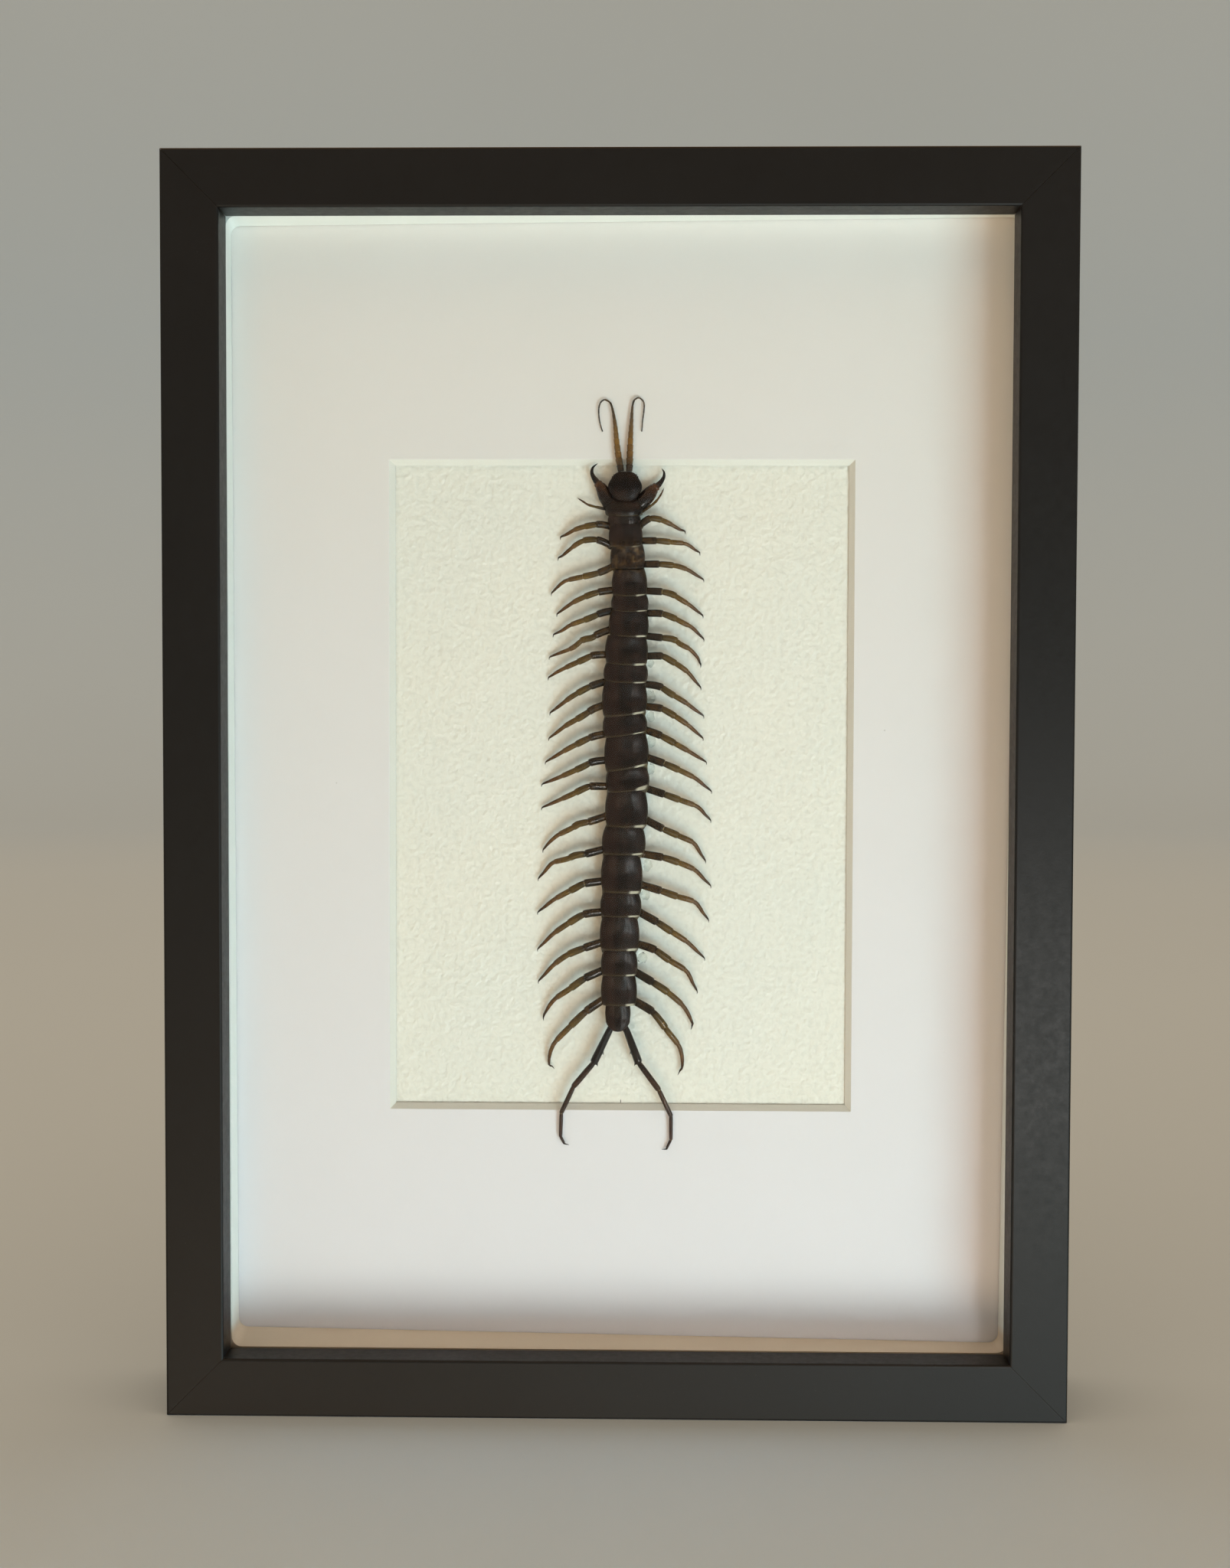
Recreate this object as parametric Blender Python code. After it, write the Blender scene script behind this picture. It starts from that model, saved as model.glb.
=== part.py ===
"""A centipede specimen in a black box frame.

Metres, +Z up. The frame stands upright with its front towards -Y. Its origin is the middle of its underside.
Depths are measured backwards from the frame's front face.
"""

import math

import bmesh
import bpy
from mathutils import Euler, Matrix, Vector

MM = 0.001
GAP = 0.3 * MM  # left between pieces that touch

# Box frame
FRAME_WIDTH = 229 * MM
FRAME_HEIGHT = 320 * MM
FRAME_DEPTH = 35 * MM
FACE_WIDTH = 14.7 * MM
LIP_DEPTH = 8.4 * MM
REBATE_WIDTH = 5.7 * MM
ARRIS_RADIUS = 0.6 * MM
MITRE_GAP = 0.1 * MM

# Flat layers, front to back
SHEET_WIDTH = 210 * MM
SHEET_HEIGHT = 297 * MM
PANE_THICKNESS = 2.0 * MM
MAT_FACE_DEPTH = 18.2 * MM
MAT_THICKNESS = 1.5 * MM
PAPER_THICKNESS = 0.4 * MM
BOARD_THICKNESS = 2.5 * MM
PANE_DEPTH = LIP_DEPTH + GAP
SPACER_DEPTH = PANE_DEPTH + PANE_THICKNESS + GAP
PAPER_DEPTH = MAT_FACE_DEPTH + MAT_THICKNESS + GAP
BOARD_DEPTH = PAPER_DEPTH + PAPER_THICKNESS + GAP
REAR_DEPTH = BOARD_DEPTH + BOARD_THICKNESS + GAP

# The mat's window, a little off the frame's centre
WINDOW_WIDTH = 121 * MM
WINDOW_HEIGHT = 170 * MM
WINDOW_OFFSET = Vector((0.8 * MM, 0, 0.3 * MM))

# The loose spacer ring's inner corners in mm, as x and height, anticlockwise from bottom left:
# its front edge hides behind the lip, and its foot has slipped a little on the mat
SPACER_FRONT = ((-100.0, 14.3), (101.0, 14.2), (102.6, 306.5), (-100.3, 305.9))
SPACER_FOOT = ((-99.7, 17.3), (100.1, 14.6), (103.1, 307.1), (-100.5, 305.2))
SPACER_WALL = 2.0 * MM
SPACER_CORNER_RADIUS = 2.5 * MM

# Back fittings
TAB_WIDTH = 8 * MM
TAB_LENGTH = 13 * MM
TAB_THICKNESS = 0.6 * MM
HANGER_LENGTH = 44 * MM
HANGER_HEIGHT = 9 * MM
HANGER_THICKNESS = 0.9 * MM
HANGER_RISE = 2.2 * MM
HANGER_FOOT = 8 * MM
HANGER_RAMP = 4 * MM
HANGER_Z = 286 * MM
TOOTH_SIZE = 1.8 * MM
TOOTH_STEP = 3.2 * MM
TEETH_BESIDE_MIDDLE = 3
NAIL_RADIUS = 2.2 * MM
NAIL_RISE = 0.8 * MM
NAIL_SUNK = 0.4 * MM
NAIL_TAPER = 0.7

# The specimen is placed by pixels of the photograph, 1606 wide and 2048 high, through its camera
CAMERA_PLACE = Vector((7.4, -478.6, 177.8)) * MM
CAMERA_TURN = Euler((math.radians(87.995), math.radians(-0.152), math.radians(0.977)))
FOCAL_PX = 2400
IMAGE_CENTRE_PX = Vector((803, 1024))
PX_PER_MM = 5.02  # at the specimen, for its widths
BODY_FLATNESS = 0.5
BODY_HEIGHT = 3.2 * MM  # of the body's axis over the paper

# Head outline: (row, left edge, right edge)
HEAD_ROWS = (
    (616, 810, 823),
    (620, 800, 833),
    (628, 796, 838),
    (640, 795.5, 838.5),
    (650, 797, 837),
    (654, 800, 834),
)

# Back plates from the neck to the tail: (front row, rear row, left edge, right edge)
BACK_PLATES = (
    (655, 674, 790, 840),
    (675, 687, 793.6, 836.7),
    (688, 714, 795, 839),
    (714, 742, 797, 842),
    (748, 778, 799, 845),
    (780, 798, 798, 847),
    (801, 831, 795, 847),
    (833, 868, 790, 846),
    (869, 891, 788, 846),
    (893, 934, 786, 845),
    (936, 960, 787, 845),
    (962, 1004, 789, 847),
    (1006, 1033, 791, 848),
    (1036, 1080, 790, 846),
    (1084, 1116, 786, 843),
    (1121, 1166, 784.5, 839),
    (1169, 1197, 783.7, 837.6),
    (1201, 1241, 783, 835),
    (1245, 1274, 784.5, 832.6),
    (1275, 1313, 784.5, 831.8),
    (1314, 1346, 790, 823.5),
)
# Width along one plate, as (share of its length, share of its width)
PLATE_PROFILE = ((0.0, 0.9), (0.2, 0.99), (0.8, 1.0), (0.98, 0.93))
TAIL_PROFILE = ((0.0, 0.95), (0.35, 1.0), (0.75, 0.8), (1.0, 0.35))

# Leg joints from root to claw, one leg for each back plate but the last
LEFT_LEGS = (
    ((790, 665), (769.6, 660), (761, 655), (754, 650.6)),
    ((793, 686.5), (783, 685), (770, 686.5), (753, 691), (740, 698), (731.5, 705.6)),
    ((794.5, 711), (782, 705.6), (768, 705), (756, 709), (745, 717), (735, 725.5), (728.6, 733)),
    ((797, 738), (793, 745), (776, 750), (758, 754), (738, 759), (728, 767), (720, 779)),
    ((798.6, 771), (784, 773), (770, 777), (751, 785.5), (738, 794), (727, 806)),
    ((798, 798), (784.5, 801), (771, 807), (746, 816), (735, 823), (722, 833)),
    ((794.5, 823), (781, 828), (773, 833), (761, 836), (748, 846), (717, 862)),
    ((789.5, 855), (774.6, 856), (761, 862), (745, 869), (728, 877.5), (715.7, 889)),
    ((788, 891), (774.6, 895), (761, 901.6), (745, 911), (733, 920), (718, 935)),
    ((785, 922), (774.6, 926), (761, 935), (740, 947), (716.5, 968)),
    ((788, 959), (774.6, 962), (761, 968), (738, 980), (712, 999)),
    ((789, 993), (774, 995), (760, 1002), (733, 1014), (707, 1028)),
    ((790, 1027), (771, 1027), (760, 1031), (748, 1037), (730, 1045), (707, 1058.6)),
    ((788, 1067), (770, 1073), (756, 1076), (746, 1082), (728, 1091), (716.5, 1101), (709, 1114)),
    ((785, 1110), (765, 1115), (751, 1117), (741, 1121.6), (721.5, 1127), (703, 1151)),
    ((784, 1151), (763, 1154), (751, 1160), (743, 1164), (723, 1175), (702, 1195)),
    ((784, 1191), (763, 1194), (745, 1204), (723, 1219), (702, 1243)),
    ((784, 1231), (763, 1238), (741, 1247), (723, 1260), (703, 1285)),
    ((785, 1268), (763, 1278), (743, 1292), (723, 1306), (711.6, 1323), (710, 1333)),
    ((788, 1305), (765, 1321), (745, 1340), (724, 1362), (718, 1377), (717, 1390.5), (724, 1396)),
)
RIGHT_LEGS = (
    ((840, 667.5), (854, 657.5), (862, 647.6), (867, 637.6)),
    ((837, 685), (847, 678), (859, 678), (874, 684), (887, 691.5), (895, 698)),
    ((840, 706.4), (859, 706.4), (874, 708), (895.6, 710.6), (907, 718), (914, 726)),
    ((843, 737), (861.6, 737), (874, 738), (886.5, 740), (899, 745), (919, 761)),
    ((847, 772), (864, 773), (877, 776), (887, 782), (900.6, 790.5), (918, 808)),
    ((847, 801), (864, 801.6), (879, 807), (890.6, 813), (904, 820), (919, 838.6)),
    ((846, 831), (864, 833), (879, 835), (889, 842), (900.6, 848), (910.5, 858.5), (914.7, 872.6)),
    ((846, 857), (864, 857), (876, 863), (889, 871), (899, 879), (915, 902)),
    ((846, 894), (861, 896.6), (874, 905), (894, 917), (905.6, 925.6), (919, 939)),
    ((846, 923), (862, 925), (874, 931), (889, 940.5), (900.6, 949), (918, 968)),
    ((845, 954), (861, 960), (874, 967), (897, 980), (922.5, 999)),
    ((847.5, 990), (866.6, 997), (886, 1005.5), (907, 1016), (929, 1037)),
    ((848, 1031), (869, 1038), (887, 1044.5), (910.5, 1053.6), (928, 1075)),
    ((847.5, 1073), (866, 1082.6), (887, 1092), (905.6, 1101), (921, 1128)),
    ((844, 1116), (866, 1120), (886, 1126.5), (907, 1136), (928, 1160.5)),
    ((842, 1157), (862, 1163), (882, 1170), (907, 1178), (925, 1205)),
    ((838, 1193), (857.5, 1204), (874, 1215), (897, 1230), (920, 1255)),
    ((834, 1233), (854, 1240), (874, 1254), (896, 1268), (910, 1298)),
    ((831, 1270), (852.5, 1283), (872, 1296), (893, 1315), (904, 1336), (902, 1345)),
    ((828.5, 1307), (852.5, 1322), (872, 1347), (888, 1369), (891, 1392), (885, 1404)),
)
# Along a leg, by share of its length: radius in mm, and height over the paper in mm
LEG_RADII = ((0.0, 0.88), (0.3, 0.85), (0.55, 0.74), (0.78, 0.52), (0.92, 0.3), (1.0, 0.12))
LEG_HEIGHTS = ((0.0, 2.9), (0.3, 3.4), (0.6, 2.5), (0.85, 1.2), (1.0, 0.55))
FIRST_LEG_RADII = ((0.0, 0.5), (0.4, 0.4), (0.8, 0.3), (1.0, 0.12))
LEG_ROOT_OVERLAP = 2.0 * MM  # a limb's root runs this far on into the body

LEFT_TERMINAL_LEG = (
    (796, 1345), (777, 1388), (749, 1418.6), (733, 1453), (732, 1484), (736.5, 1495), (743, 1496),
)
RIGHT_TERMINAL_LEG = (
    (818, 1345), (834, 1388), (860, 1423), (876, 1457), (876, 1488), (870, 1500.5), (865, 1501),
)
TERMINAL_RADII = ((0.0, 1.15), (0.3, 1.0), (0.5, 0.8), (0.72, 0.68), (0.9, 0.42), (1.0, 0.12))
TERMINAL_HEIGHTS = ((0.0, 3.1), (0.4, 3.5), (0.7, 3.1), (1.0, 2.4))

LEFT_ANTENNA = (
    (811, 614), (807, 593), (806, 580), (804, 558), (801, 538), (796, 525),
    (788, 523), (782, 531), (782, 543), (784.5, 555), (787, 564),
)
RIGHT_ANTENNA = (
    (823, 614), (823, 593), (823.5, 573), (825, 550), (826, 530), (829, 522),
    (836, 520), (841, 526), (841, 536), (839, 550), (838, 564),
)
ANTENNA_RADII = ((0.0, 0.92), (0.25, 0.75), (0.45, 0.5), (0.6, 0.32), (0.72, 0.2), (1.0, 0.12))
ANTENNA_HEIGHTS = ((0.0, 3.2), (0.15, 3.1), (0.5, 2.8), (1.0, 2.3))

LEFT_POISON_CLAW = ((797, 657), (787, 644), (780, 633), (773, 622), (773.5, 614), (780.4, 605.8))
RIGHT_POISON_CLAW = ((833, 657), (848, 647), (859.5, 636), (866, 627), (867, 620), (863.8, 612.4))
CLAW_RADII = ((0.0, 1.8), (0.28, 1.55), (0.5, 1.2), (0.62, 0.75), (0.8, 0.5), (1.0, 0.1))
CLAW_HEIGHTS = ((0.0, 2.6), (1.0, 2.0))

# Glue beads beside the right flank: (pixel, radius in mm)
GLUE_BEADS = (
    ((850, 867), 0.9),
    ((848.5, 910), 1.5),
    ((850, 936), 1.1),
    ((850, 968), 1.3),
    ((849, 1004), 1.3),
    ((845.5, 1130), 1.3),
    ((842.5, 1168), 1.3),
    ((838.5, 1251), 1.3),
)
BEAD_HEIGHT_SHARE = 1.25  # a bead's height over its radius
BEAD_LENGTH_SHARE = 1.3  # half its length along the flank over its radius


def clear_scene():
    for obj in list(bpy.data.objects):
        bpy.data.objects.remove(obj)


def new_collection(name):
    collection = bpy.data.collections.new(name)
    bpy.context.scene.collection.children.link(collection)
    return collection


def plain_material(name, colour, roughness, metallic=0.0, transmission=0.0):
    material = bpy.data.materials.new(name)
    material.use_nodes = True
    shader = material.node_tree.nodes["Principled BSDF"]
    shader.inputs["Base Color"].default_value = (*colour, 1)
    shader.inputs["Roughness"].default_value = roughness
    shader.inputs["Metallic"].default_value = metallic
    shader.inputs["Transmission Weight"].default_value = transmission
    return material


def add_object(name, data, collection, material):
    obj = bpy.data.objects.new(name, data)
    collection.objects.link(obj)
    data.materials.append(material)
    return obj


def add_bmesh(name, shape, collection, material):
    """Write a finished bmesh into a new object."""
    bmesh.ops.recalc_face_normals(shape, faces=shape.faces)
    mesh = bpy.data.meshes.new(name)
    shape.to_mesh(mesh)
    shape.free()
    return add_object(name, mesh, collection, material)


def make_helper(obj):
    obj.hide_render = True
    obj.display_type = "WIRE"


def layer_y(depth):
    """The y of a plane this far behind the frame's front face."""
    return depth - FRAME_DEPTH / 2


def rounded_outline(corners, steps=3):
    """A closed outline through (point, radius) corners, each rounded by an arc of this many steps."""
    outline = []
    for index, (corner, radius) in enumerate(corners):
        corner = Vector(corner)
        before = (Vector(corners[index - 1][0]) - corner).normalized()
        after = (Vector(corners[(index + 1) % len(corners)][0]) - corner).normalized()
        if radius == 0:
            outline.append(corner)
            continue
        half_angle = before.angle(after) / 2
        centre = corner + (before + after).normalized() * (radius / math.sin(half_angle))
        start = (corner + before * (radius / math.tan(half_angle)) - centre).normalized()
        end = (corner + after * (radius / math.tan(half_angle)) - centre).normalized()
        outline += [centre + start.slerp(end, step / steps) * radius for step in range(steps + 1)]
    return outline


def build_plate(name, outline, thickness, collection, material, back_outline=None):
    """A plate of this thickness about the XZ plane, between its front outline and its back one."""
    shape = bmesh.new()
    faces = []
    for y, points in ((-thickness / 2, outline), (thickness / 2, back_outline or outline)):
        corners = [shape.verts.new((across, y, up)) for across, up in points]
        faces.append(shape.faces.new(corners))
    bmesh.ops.bridge_loops(shape, edges=[*faces[0].edges, *faces[1].edges])
    return add_bmesh(name, shape, collection, material)


def build_rail(name, length, location, turn, collection, material):
    """One mitred rail: its section is drawn from the outer edge inwards, its ends are cut at 45 degrees."""
    front, back = layer_y(0), layer_y(FRAME_DEPTH)
    rebate_inset = FACE_WIDTH - REBATE_WIDTH
    section = rounded_outline(
        (
            ((0, front), ARRIS_RADIUS),
            ((FACE_WIDTH, front), ARRIS_RADIUS),
            ((FACE_WIDTH, layer_y(LIP_DEPTH)), 0),
            ((rebate_inset, layer_y(LIP_DEPTH)), 0),
            ((rebate_inset, back), 0),
            ((0, back), ARRIS_RADIUS),
        )
    )
    shape = bmesh.new()
    corners = [shape.verts.new((-length / 2, depth, inset)) for inset, depth in section]
    end_face = shape.faces.new(corners)
    extruded = bmesh.ops.extrude_face_region(shape, geom=[end_face], use_keep_orig=True)
    for vert in extruded["geom"]:
        if isinstance(vert, bmesh.types.BMVert):
            vert.co.x += length
    for vert in shape.verts:
        vert.co.x -= math.copysign(vert.co.z + MITRE_GAP / 2, vert.co.x)
    rail = add_bmesh(name, shape, collection, material)
    rail.location = location
    rail.rotation_euler.y = turn
    return rail


def build_frame(collection, material):
    half_width, half_height = FRAME_WIDTH / 2, FRAME_HEIGHT / 2
    rails = (
        ("rail_bottom", FRAME_WIDTH, (0, 0, 0), 0),
        ("rail_top", FRAME_WIDTH, (0, 0, FRAME_HEIGHT), math.pi),
        ("rail_left", FRAME_HEIGHT, (-half_width, 0, half_height), math.pi / 2),
        ("rail_right", FRAME_HEIGHT, (half_width, 0, half_height), -math.pi / 2),
    )
    for name, length, location, turn in rails:
        build_rail(name, length, location, turn, collection, material)


def build_slab(name, width, height, depth, thickness, collection, material):
    """A flat sheet, centred on the frame, whose front face is at this depth."""
    shape = bmesh.new()
    size = Matrix.Diagonal((width, thickness, height, 1))
    bmesh.ops.create_cube(shape, size=1, matrix=size)
    slab = add_bmesh(name, shape, collection, material)
    slab.location = (0, layer_y(depth + thickness / 2), FRAME_HEIGHT / 2)
    return slab


def spacer_outlines(corners_mm):
    """The ring's outer and inner outlines through these inner corners."""
    outlines = []
    for outwards, radius in ((SPACER_WALL, SPACER_CORNER_RADIUS + SPACER_WALL), (0, SPACER_CORNER_RADIUS)):
        corners = []
        for across, up in corners_mm:
            corner = Vector((across, up)) * MM
            corner.x += math.copysign(outwards, corner.x)
            corner.y += math.copysign(outwards, corner.y - FRAME_HEIGHT / 2)
            corners.append((corner, radius))
        outlines.append(rounded_outline(corners))
    return outlines


def build_spacer(collection, helpers, material):
    """A strip bent into a ring, leaning a little: a rounded plate with its middle cut out."""
    thickness = MAT_FACE_DEPTH - GAP - SPACER_DEPTH
    outer_front, inner_front = spacer_outlines(SPACER_FRONT)
    outer_foot, inner_foot = spacer_outlines(SPACER_FOOT)
    spacer = build_plate("spacer", outer_front, thickness, collection, material, outer_foot)
    # The cutter runs on past both faces with the same lean
    reach = 2.0
    past_front, past_foot = [], []
    for front, foot in zip(inner_front, inner_foot):
        past_front.append((front + foot) / 2 + (front - foot) / 2 * reach)
        past_foot.append((front + foot) / 2 + (foot - front) / 2 * reach)
    cutter = build_plate("spacer_cutter", past_front, thickness * reach, helpers, material, past_foot)
    make_helper(cutter)
    for plate in (spacer, cutter):
        plate.location.y = layer_y(SPACER_DEPTH + thickness / 2)
    cut = spacer.modifiers.new("middle", "BOOLEAN")
    cut.operation = "DIFFERENCE"
    cut.object = cutter


def build_mat(collection, helpers, material):
    """The window mat: a tapered cutter gives its opening the 45 degree bevel."""
    mat = build_slab("mat", SHEET_WIDTH, SHEET_HEIGHT, MAT_FACE_DEPTH, MAT_THICKNESS, collection, material)
    overshoot = 1 * MM
    shape = bmesh.new()
    bmesh.ops.create_cube(shape, size=1)
    for vert in shape.verts:
        in_front = vert.co.y < 0
        taper = overshoot if in_front else -overshoot - MAT_THICKNESS
        vert.co.x *= WINDOW_WIDTH + 2 * taper
        vert.co.z *= WINDOW_HEIGHT + 2 * taper
        vert.co.y *= MAT_THICKNESS + 2 * overshoot
    cutter = add_bmesh("window_cutter", shape, helpers, material)
    cutter.location = mat.location + WINDOW_OFFSET
    make_helper(cutter)
    cut = mat.modifiers.new("window", "BOOLEAN")
    cut.operation = "DIFFERENCE"
    cut.object = cutter


def build_tabs(collection, material):
    """Flexible points round the back: two on each side, lying on the board."""
    rebate_x = FRAME_WIDTH / 2 - FACE_WIDTH + REBATE_WIDTH - GAP
    rebate_z = FRAME_HEIGHT / 2 - FACE_WIDTH + REBATE_WIDTH - GAP
    spots = []
    for side in (-1, 1):
        for end in (-1, 1):
            spots.append((side * rebate_x, end * SHEET_HEIGHT / 4, side * math.pi / 2))
            spots.append((end * SHEET_WIDTH / 4, side * rebate_z, (1 - side) * math.pi / 2))
    half = TAB_WIDTH / 2
    tip_radius = half * 0.9
    outline = rounded_outline(
        (
            ((-half, 0), 0),
            ((half, 0), 0),
            ((half, -TAB_LENGTH), tip_radius),
            ((-half, -TAB_LENGTH), tip_radius),
        )
    )
    for number, (x, z, turn) in enumerate(spots, 1):
        tab = build_plate(f"tab_{number}", outline, TAB_THICKNESS, collection, material)
        tab.location = (x, layer_y(REAR_DEPTH + TAB_THICKNESS / 2), FRAME_HEIGHT / 2 + z)
        tab.rotation_euler.y = turn


def nail_head(name, x, depth, helpers, material):
    """A domed nail head on the plate's foot, sunk a little into it so that the two join."""
    shape = bmesh.new()
    bmesh.ops.create_cone(
        shape,
        cap_ends=True,
        segments=12,
        radius1=NAIL_RADIUS,
        radius2=NAIL_RADIUS * NAIL_TAPER,
        depth=NAIL_RISE + NAIL_SUNK,
        matrix=Matrix.Rotation(-math.pi / 2, 4, "X"),
    )
    head = add_bmesh(name, shape, helpers, material)
    head.location = (x, layer_y(depth + HANGER_THICKNESS + (NAIL_RISE - NAIL_SUNK) / 2), HANGER_Z)
    make_helper(head)


def build_hanger(collection, helpers, material):
    """A strip bowed away from the board, with teeth on its lower edge and a nail through each foot."""
    half = HANGER_LENGTH / 2
    bow = half - HANGER_FOOT
    raised = bow - HANGER_RAMP
    rise = HANGER_RISE
    near_side = ((-half, 0), (-bow, 0), (-raised, rise), (raised, rise), (bow, 0), (half, 0))
    far_side = [(x, y + HANGER_THICKNESS) for x, y in reversed(near_side)]
    shape = bmesh.new()
    bottom = HANGER_Z - HANGER_HEIGHT / 2
    corners = [shape.verts.new((x, layer_y(REAR_DEPTH) + y, bottom)) for x, y in (*near_side, *far_side)]
    strip = shape.faces.new(corners)
    extruded = bmesh.ops.extrude_face_region(shape, geom=[strip], use_keep_orig=True)
    top_verts = [item for item in extruded["geom"] if isinstance(item, bmesh.types.BMVert)]
    bmesh.ops.translate(shape, verts=top_verts, vec=(0, 0, HANGER_HEIGHT))
    hanger = add_bmesh("hanger", shape, collection, material)

    teeth = new_collection("hanger_teeth")
    for number in range(-TEETH_BESIDE_MIDDLE, TEETH_BESIDE_MIDDLE + 1):
        notch = bmesh.new()
        bmesh.ops.create_cube(notch, size=TOOTH_SIZE, matrix=Matrix.Rotation(math.pi / 4, 4, "Y"))
        through_plate = 4 * HANGER_THICKNESS / TOOTH_SIZE
        bmesh.ops.scale(notch, vec=(1, through_plate, 1), verts=notch.verts)
        cutter = add_bmesh(f"tooth_cutter_{number}", notch, teeth, material)
        cutter.location = (number * TOOTH_STEP, layer_y(REAR_DEPTH) + rise, bottom)
        make_helper(cutter)
    cut = hanger.modifiers.new("teeth", "BOOLEAN")
    cut.operation = "DIFFERENCE"
    cut.operand_type = "COLLECTION"
    cut.collection = teeth

    nail_head("nail_head_left", -half + HANGER_FOOT / 2, REAR_DEPTH, helpers, material)
    nail_head("nail_head_right", half - HANGER_FOOT / 2, REAR_DEPTH, helpers, material)
    for side in ("left", "right"):
        join = hanger.modifiers.new(f"nail_{side}", "BOOLEAN")
        join.operation = "UNION"
        join.object = bpy.data.objects[f"nail_head_{side}"]


def specimen_point(pixel, height):
    """The place that a pixel of the photograph shows at this height over the backing paper."""
    across, down = Vector(pixel) - IMAGE_CENTRE_PX
    ray = Vector((across, -down, -FOCAL_PX))
    ray.rotate(CAMERA_TURN)
    plane_y = layer_y(PAPER_DEPTH) - height
    return CAMERA_PLACE + ray * ((plane_y - CAMERA_PLACE.y) / ray.y)


def along(table, share):
    """The value at this share of the way, straight between a table's (share, value) rows."""
    for (start, low), (end, high) in zip(table, table[1:]):
        if share <= end:
            return low + (high - low) * (share - start) / (end - start)
    return table[-1][1]


def tube_mesh(name, points, radii, sides_step, collection, material, flatness=1.0):
    """A closed tube through these points, with its own radius in mm at each, as a mesh object.

    Its section is squeezed front to back by the flatness.
    """
    curve = bpy.data.curves.new(name, "CURVE")
    curve.dimensions = "3D"
    curve.bevel_depth = MM
    curve.bevel_resolution = sides_step
    curve.use_fill_caps = True
    spline = curve.splines.new("POLY")
    spline.points.add(len(points) - 1)
    middle = points[0].y
    for point, place, radius in zip(spline.points, points, radii):
        point.co = (place.x, (place.y - middle) / flatness, place.z, 1)
        point.radius = radius
    drawn = add_object(name, curve, collection, material)
    drawn.scale.y = flatness
    drawn.location.y = middle
    bpy.context.view_layer.update()
    graph = bpy.context.evaluated_depsgraph_get()
    mesh = bpy.data.meshes.new_from_object(drawn.evaluated_get(graph))
    mesh.transform(drawn.matrix_world)
    bpy.data.objects.remove(drawn)
    bpy.data.curves.remove(curve)
    shape = bmesh.new()
    shape.from_mesh(mesh)
    bpy.data.meshes.remove(mesh)
    bmesh.ops.remove_doubles(shape, verts=shape.verts, dist=0.001 * MM)
    return add_bmesh(name, shape, collection, material)


def body_rows():
    """(row, centre column, half width in mm) from the head to the tail."""
    rows = [(row, (left + right) / 2, (right - left) / 2) for row, left, right in HEAD_ROWS]
    for plate in BACK_PLATES:
        front, rear, left, right = plate
        profile = TAIL_PROFILE if plate == BACK_PLATES[-1] else PLATE_PROFILE
        for share, width in profile:
            rows.append((front + share * (rear - front), (left + right) / 2, width * (right - left) / 2))
    return [(row, centre, half / PX_PER_MM) for row, centre, half in rows]


def build_trunk(collection, material, grown=0.0):
    rows = body_rows()
    points = [specimen_point((centre, row), BODY_HEIGHT) for row, centre, _ in rows]
    radii = [half + grown for _, _, half in rows]
    return tube_mesh("centipede", points, radii, 4, collection, material, BODY_FLATNESS)


def limb_points(pixels, heights):
    """Points along a limb, each with its share of the limb's length."""
    flat = [Vector(pixel) for pixel in pixels]
    travelled = [0.0]
    for before, after in zip(flat, flat[1:]):
        travelled.append(travelled[-1] + (after - before).length)
    shares = [distance / travelled[-1] for distance in travelled]
    return [specimen_point(pixel, along(heights, share) * MM) for pixel, share in zip(flat, shares)], shares


def build_limb(name, pixels, radii_table, heights, collection, material, grown=0.0):
    """One limb, whose root runs on into the body so that the two join."""
    points, shares = limb_points(pixels, heights)
    inwards = (points[0] - points[1]).normalized() * LEG_ROOT_OVERLAP
    points.insert(0, points[0] + inwards)
    radii = [along(radii_table, share) + grown for share in (0.0, *shares)]
    return tube_mesh(name, points, radii, 1, collection, material)


def limb_plan():
    """(name, pixels, radii, heights) of every limb."""
    plan = [
        ("antenna_left", LEFT_ANTENNA, ANTENNA_RADII, ANTENNA_HEIGHTS),
        ("antenna_right", RIGHT_ANTENNA, ANTENNA_RADII, ANTENNA_HEIGHTS),
        ("poison_claw_left", LEFT_POISON_CLAW, CLAW_RADII, CLAW_HEIGHTS),
        ("poison_claw_right", RIGHT_POISON_CLAW, CLAW_RADII, CLAW_HEIGHTS),
        ("terminal_leg_left", LEFT_TERMINAL_LEG, TERMINAL_RADII, TERMINAL_HEIGHTS),
        ("terminal_leg_right", RIGHT_TERMINAL_LEG, TERMINAL_RADII, TERMINAL_HEIGHTS),
    ]
    for number, (left, right) in enumerate(zip(LEFT_LEGS, RIGHT_LEGS), 1):
        radii = FIRST_LEG_RADII if number == 1 else LEG_RADII
        plan.append((f"leg_left_{number}", left, radii, LEG_HEIGHTS))
        plan.append((f"leg_right_{number}", right, radii, LEG_HEIGHTS))
    return plan


def build_centipede(collection, material):
    """The trunk with every limb joined on, one solid as it grew."""
    trunk = build_trunk(collection, material)
    limbs = new_collection("limbs")
    for name, pixels, radii, heights in limb_plan():
        make_helper(build_limb(name, pixels, radii, heights, limbs, material))
    join = trunk.modifiers.new("limbs", "BOOLEAN")
    join.operation = "UNION"
    join.operand_type = "COLLECTION"
    join.collection = limbs


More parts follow.
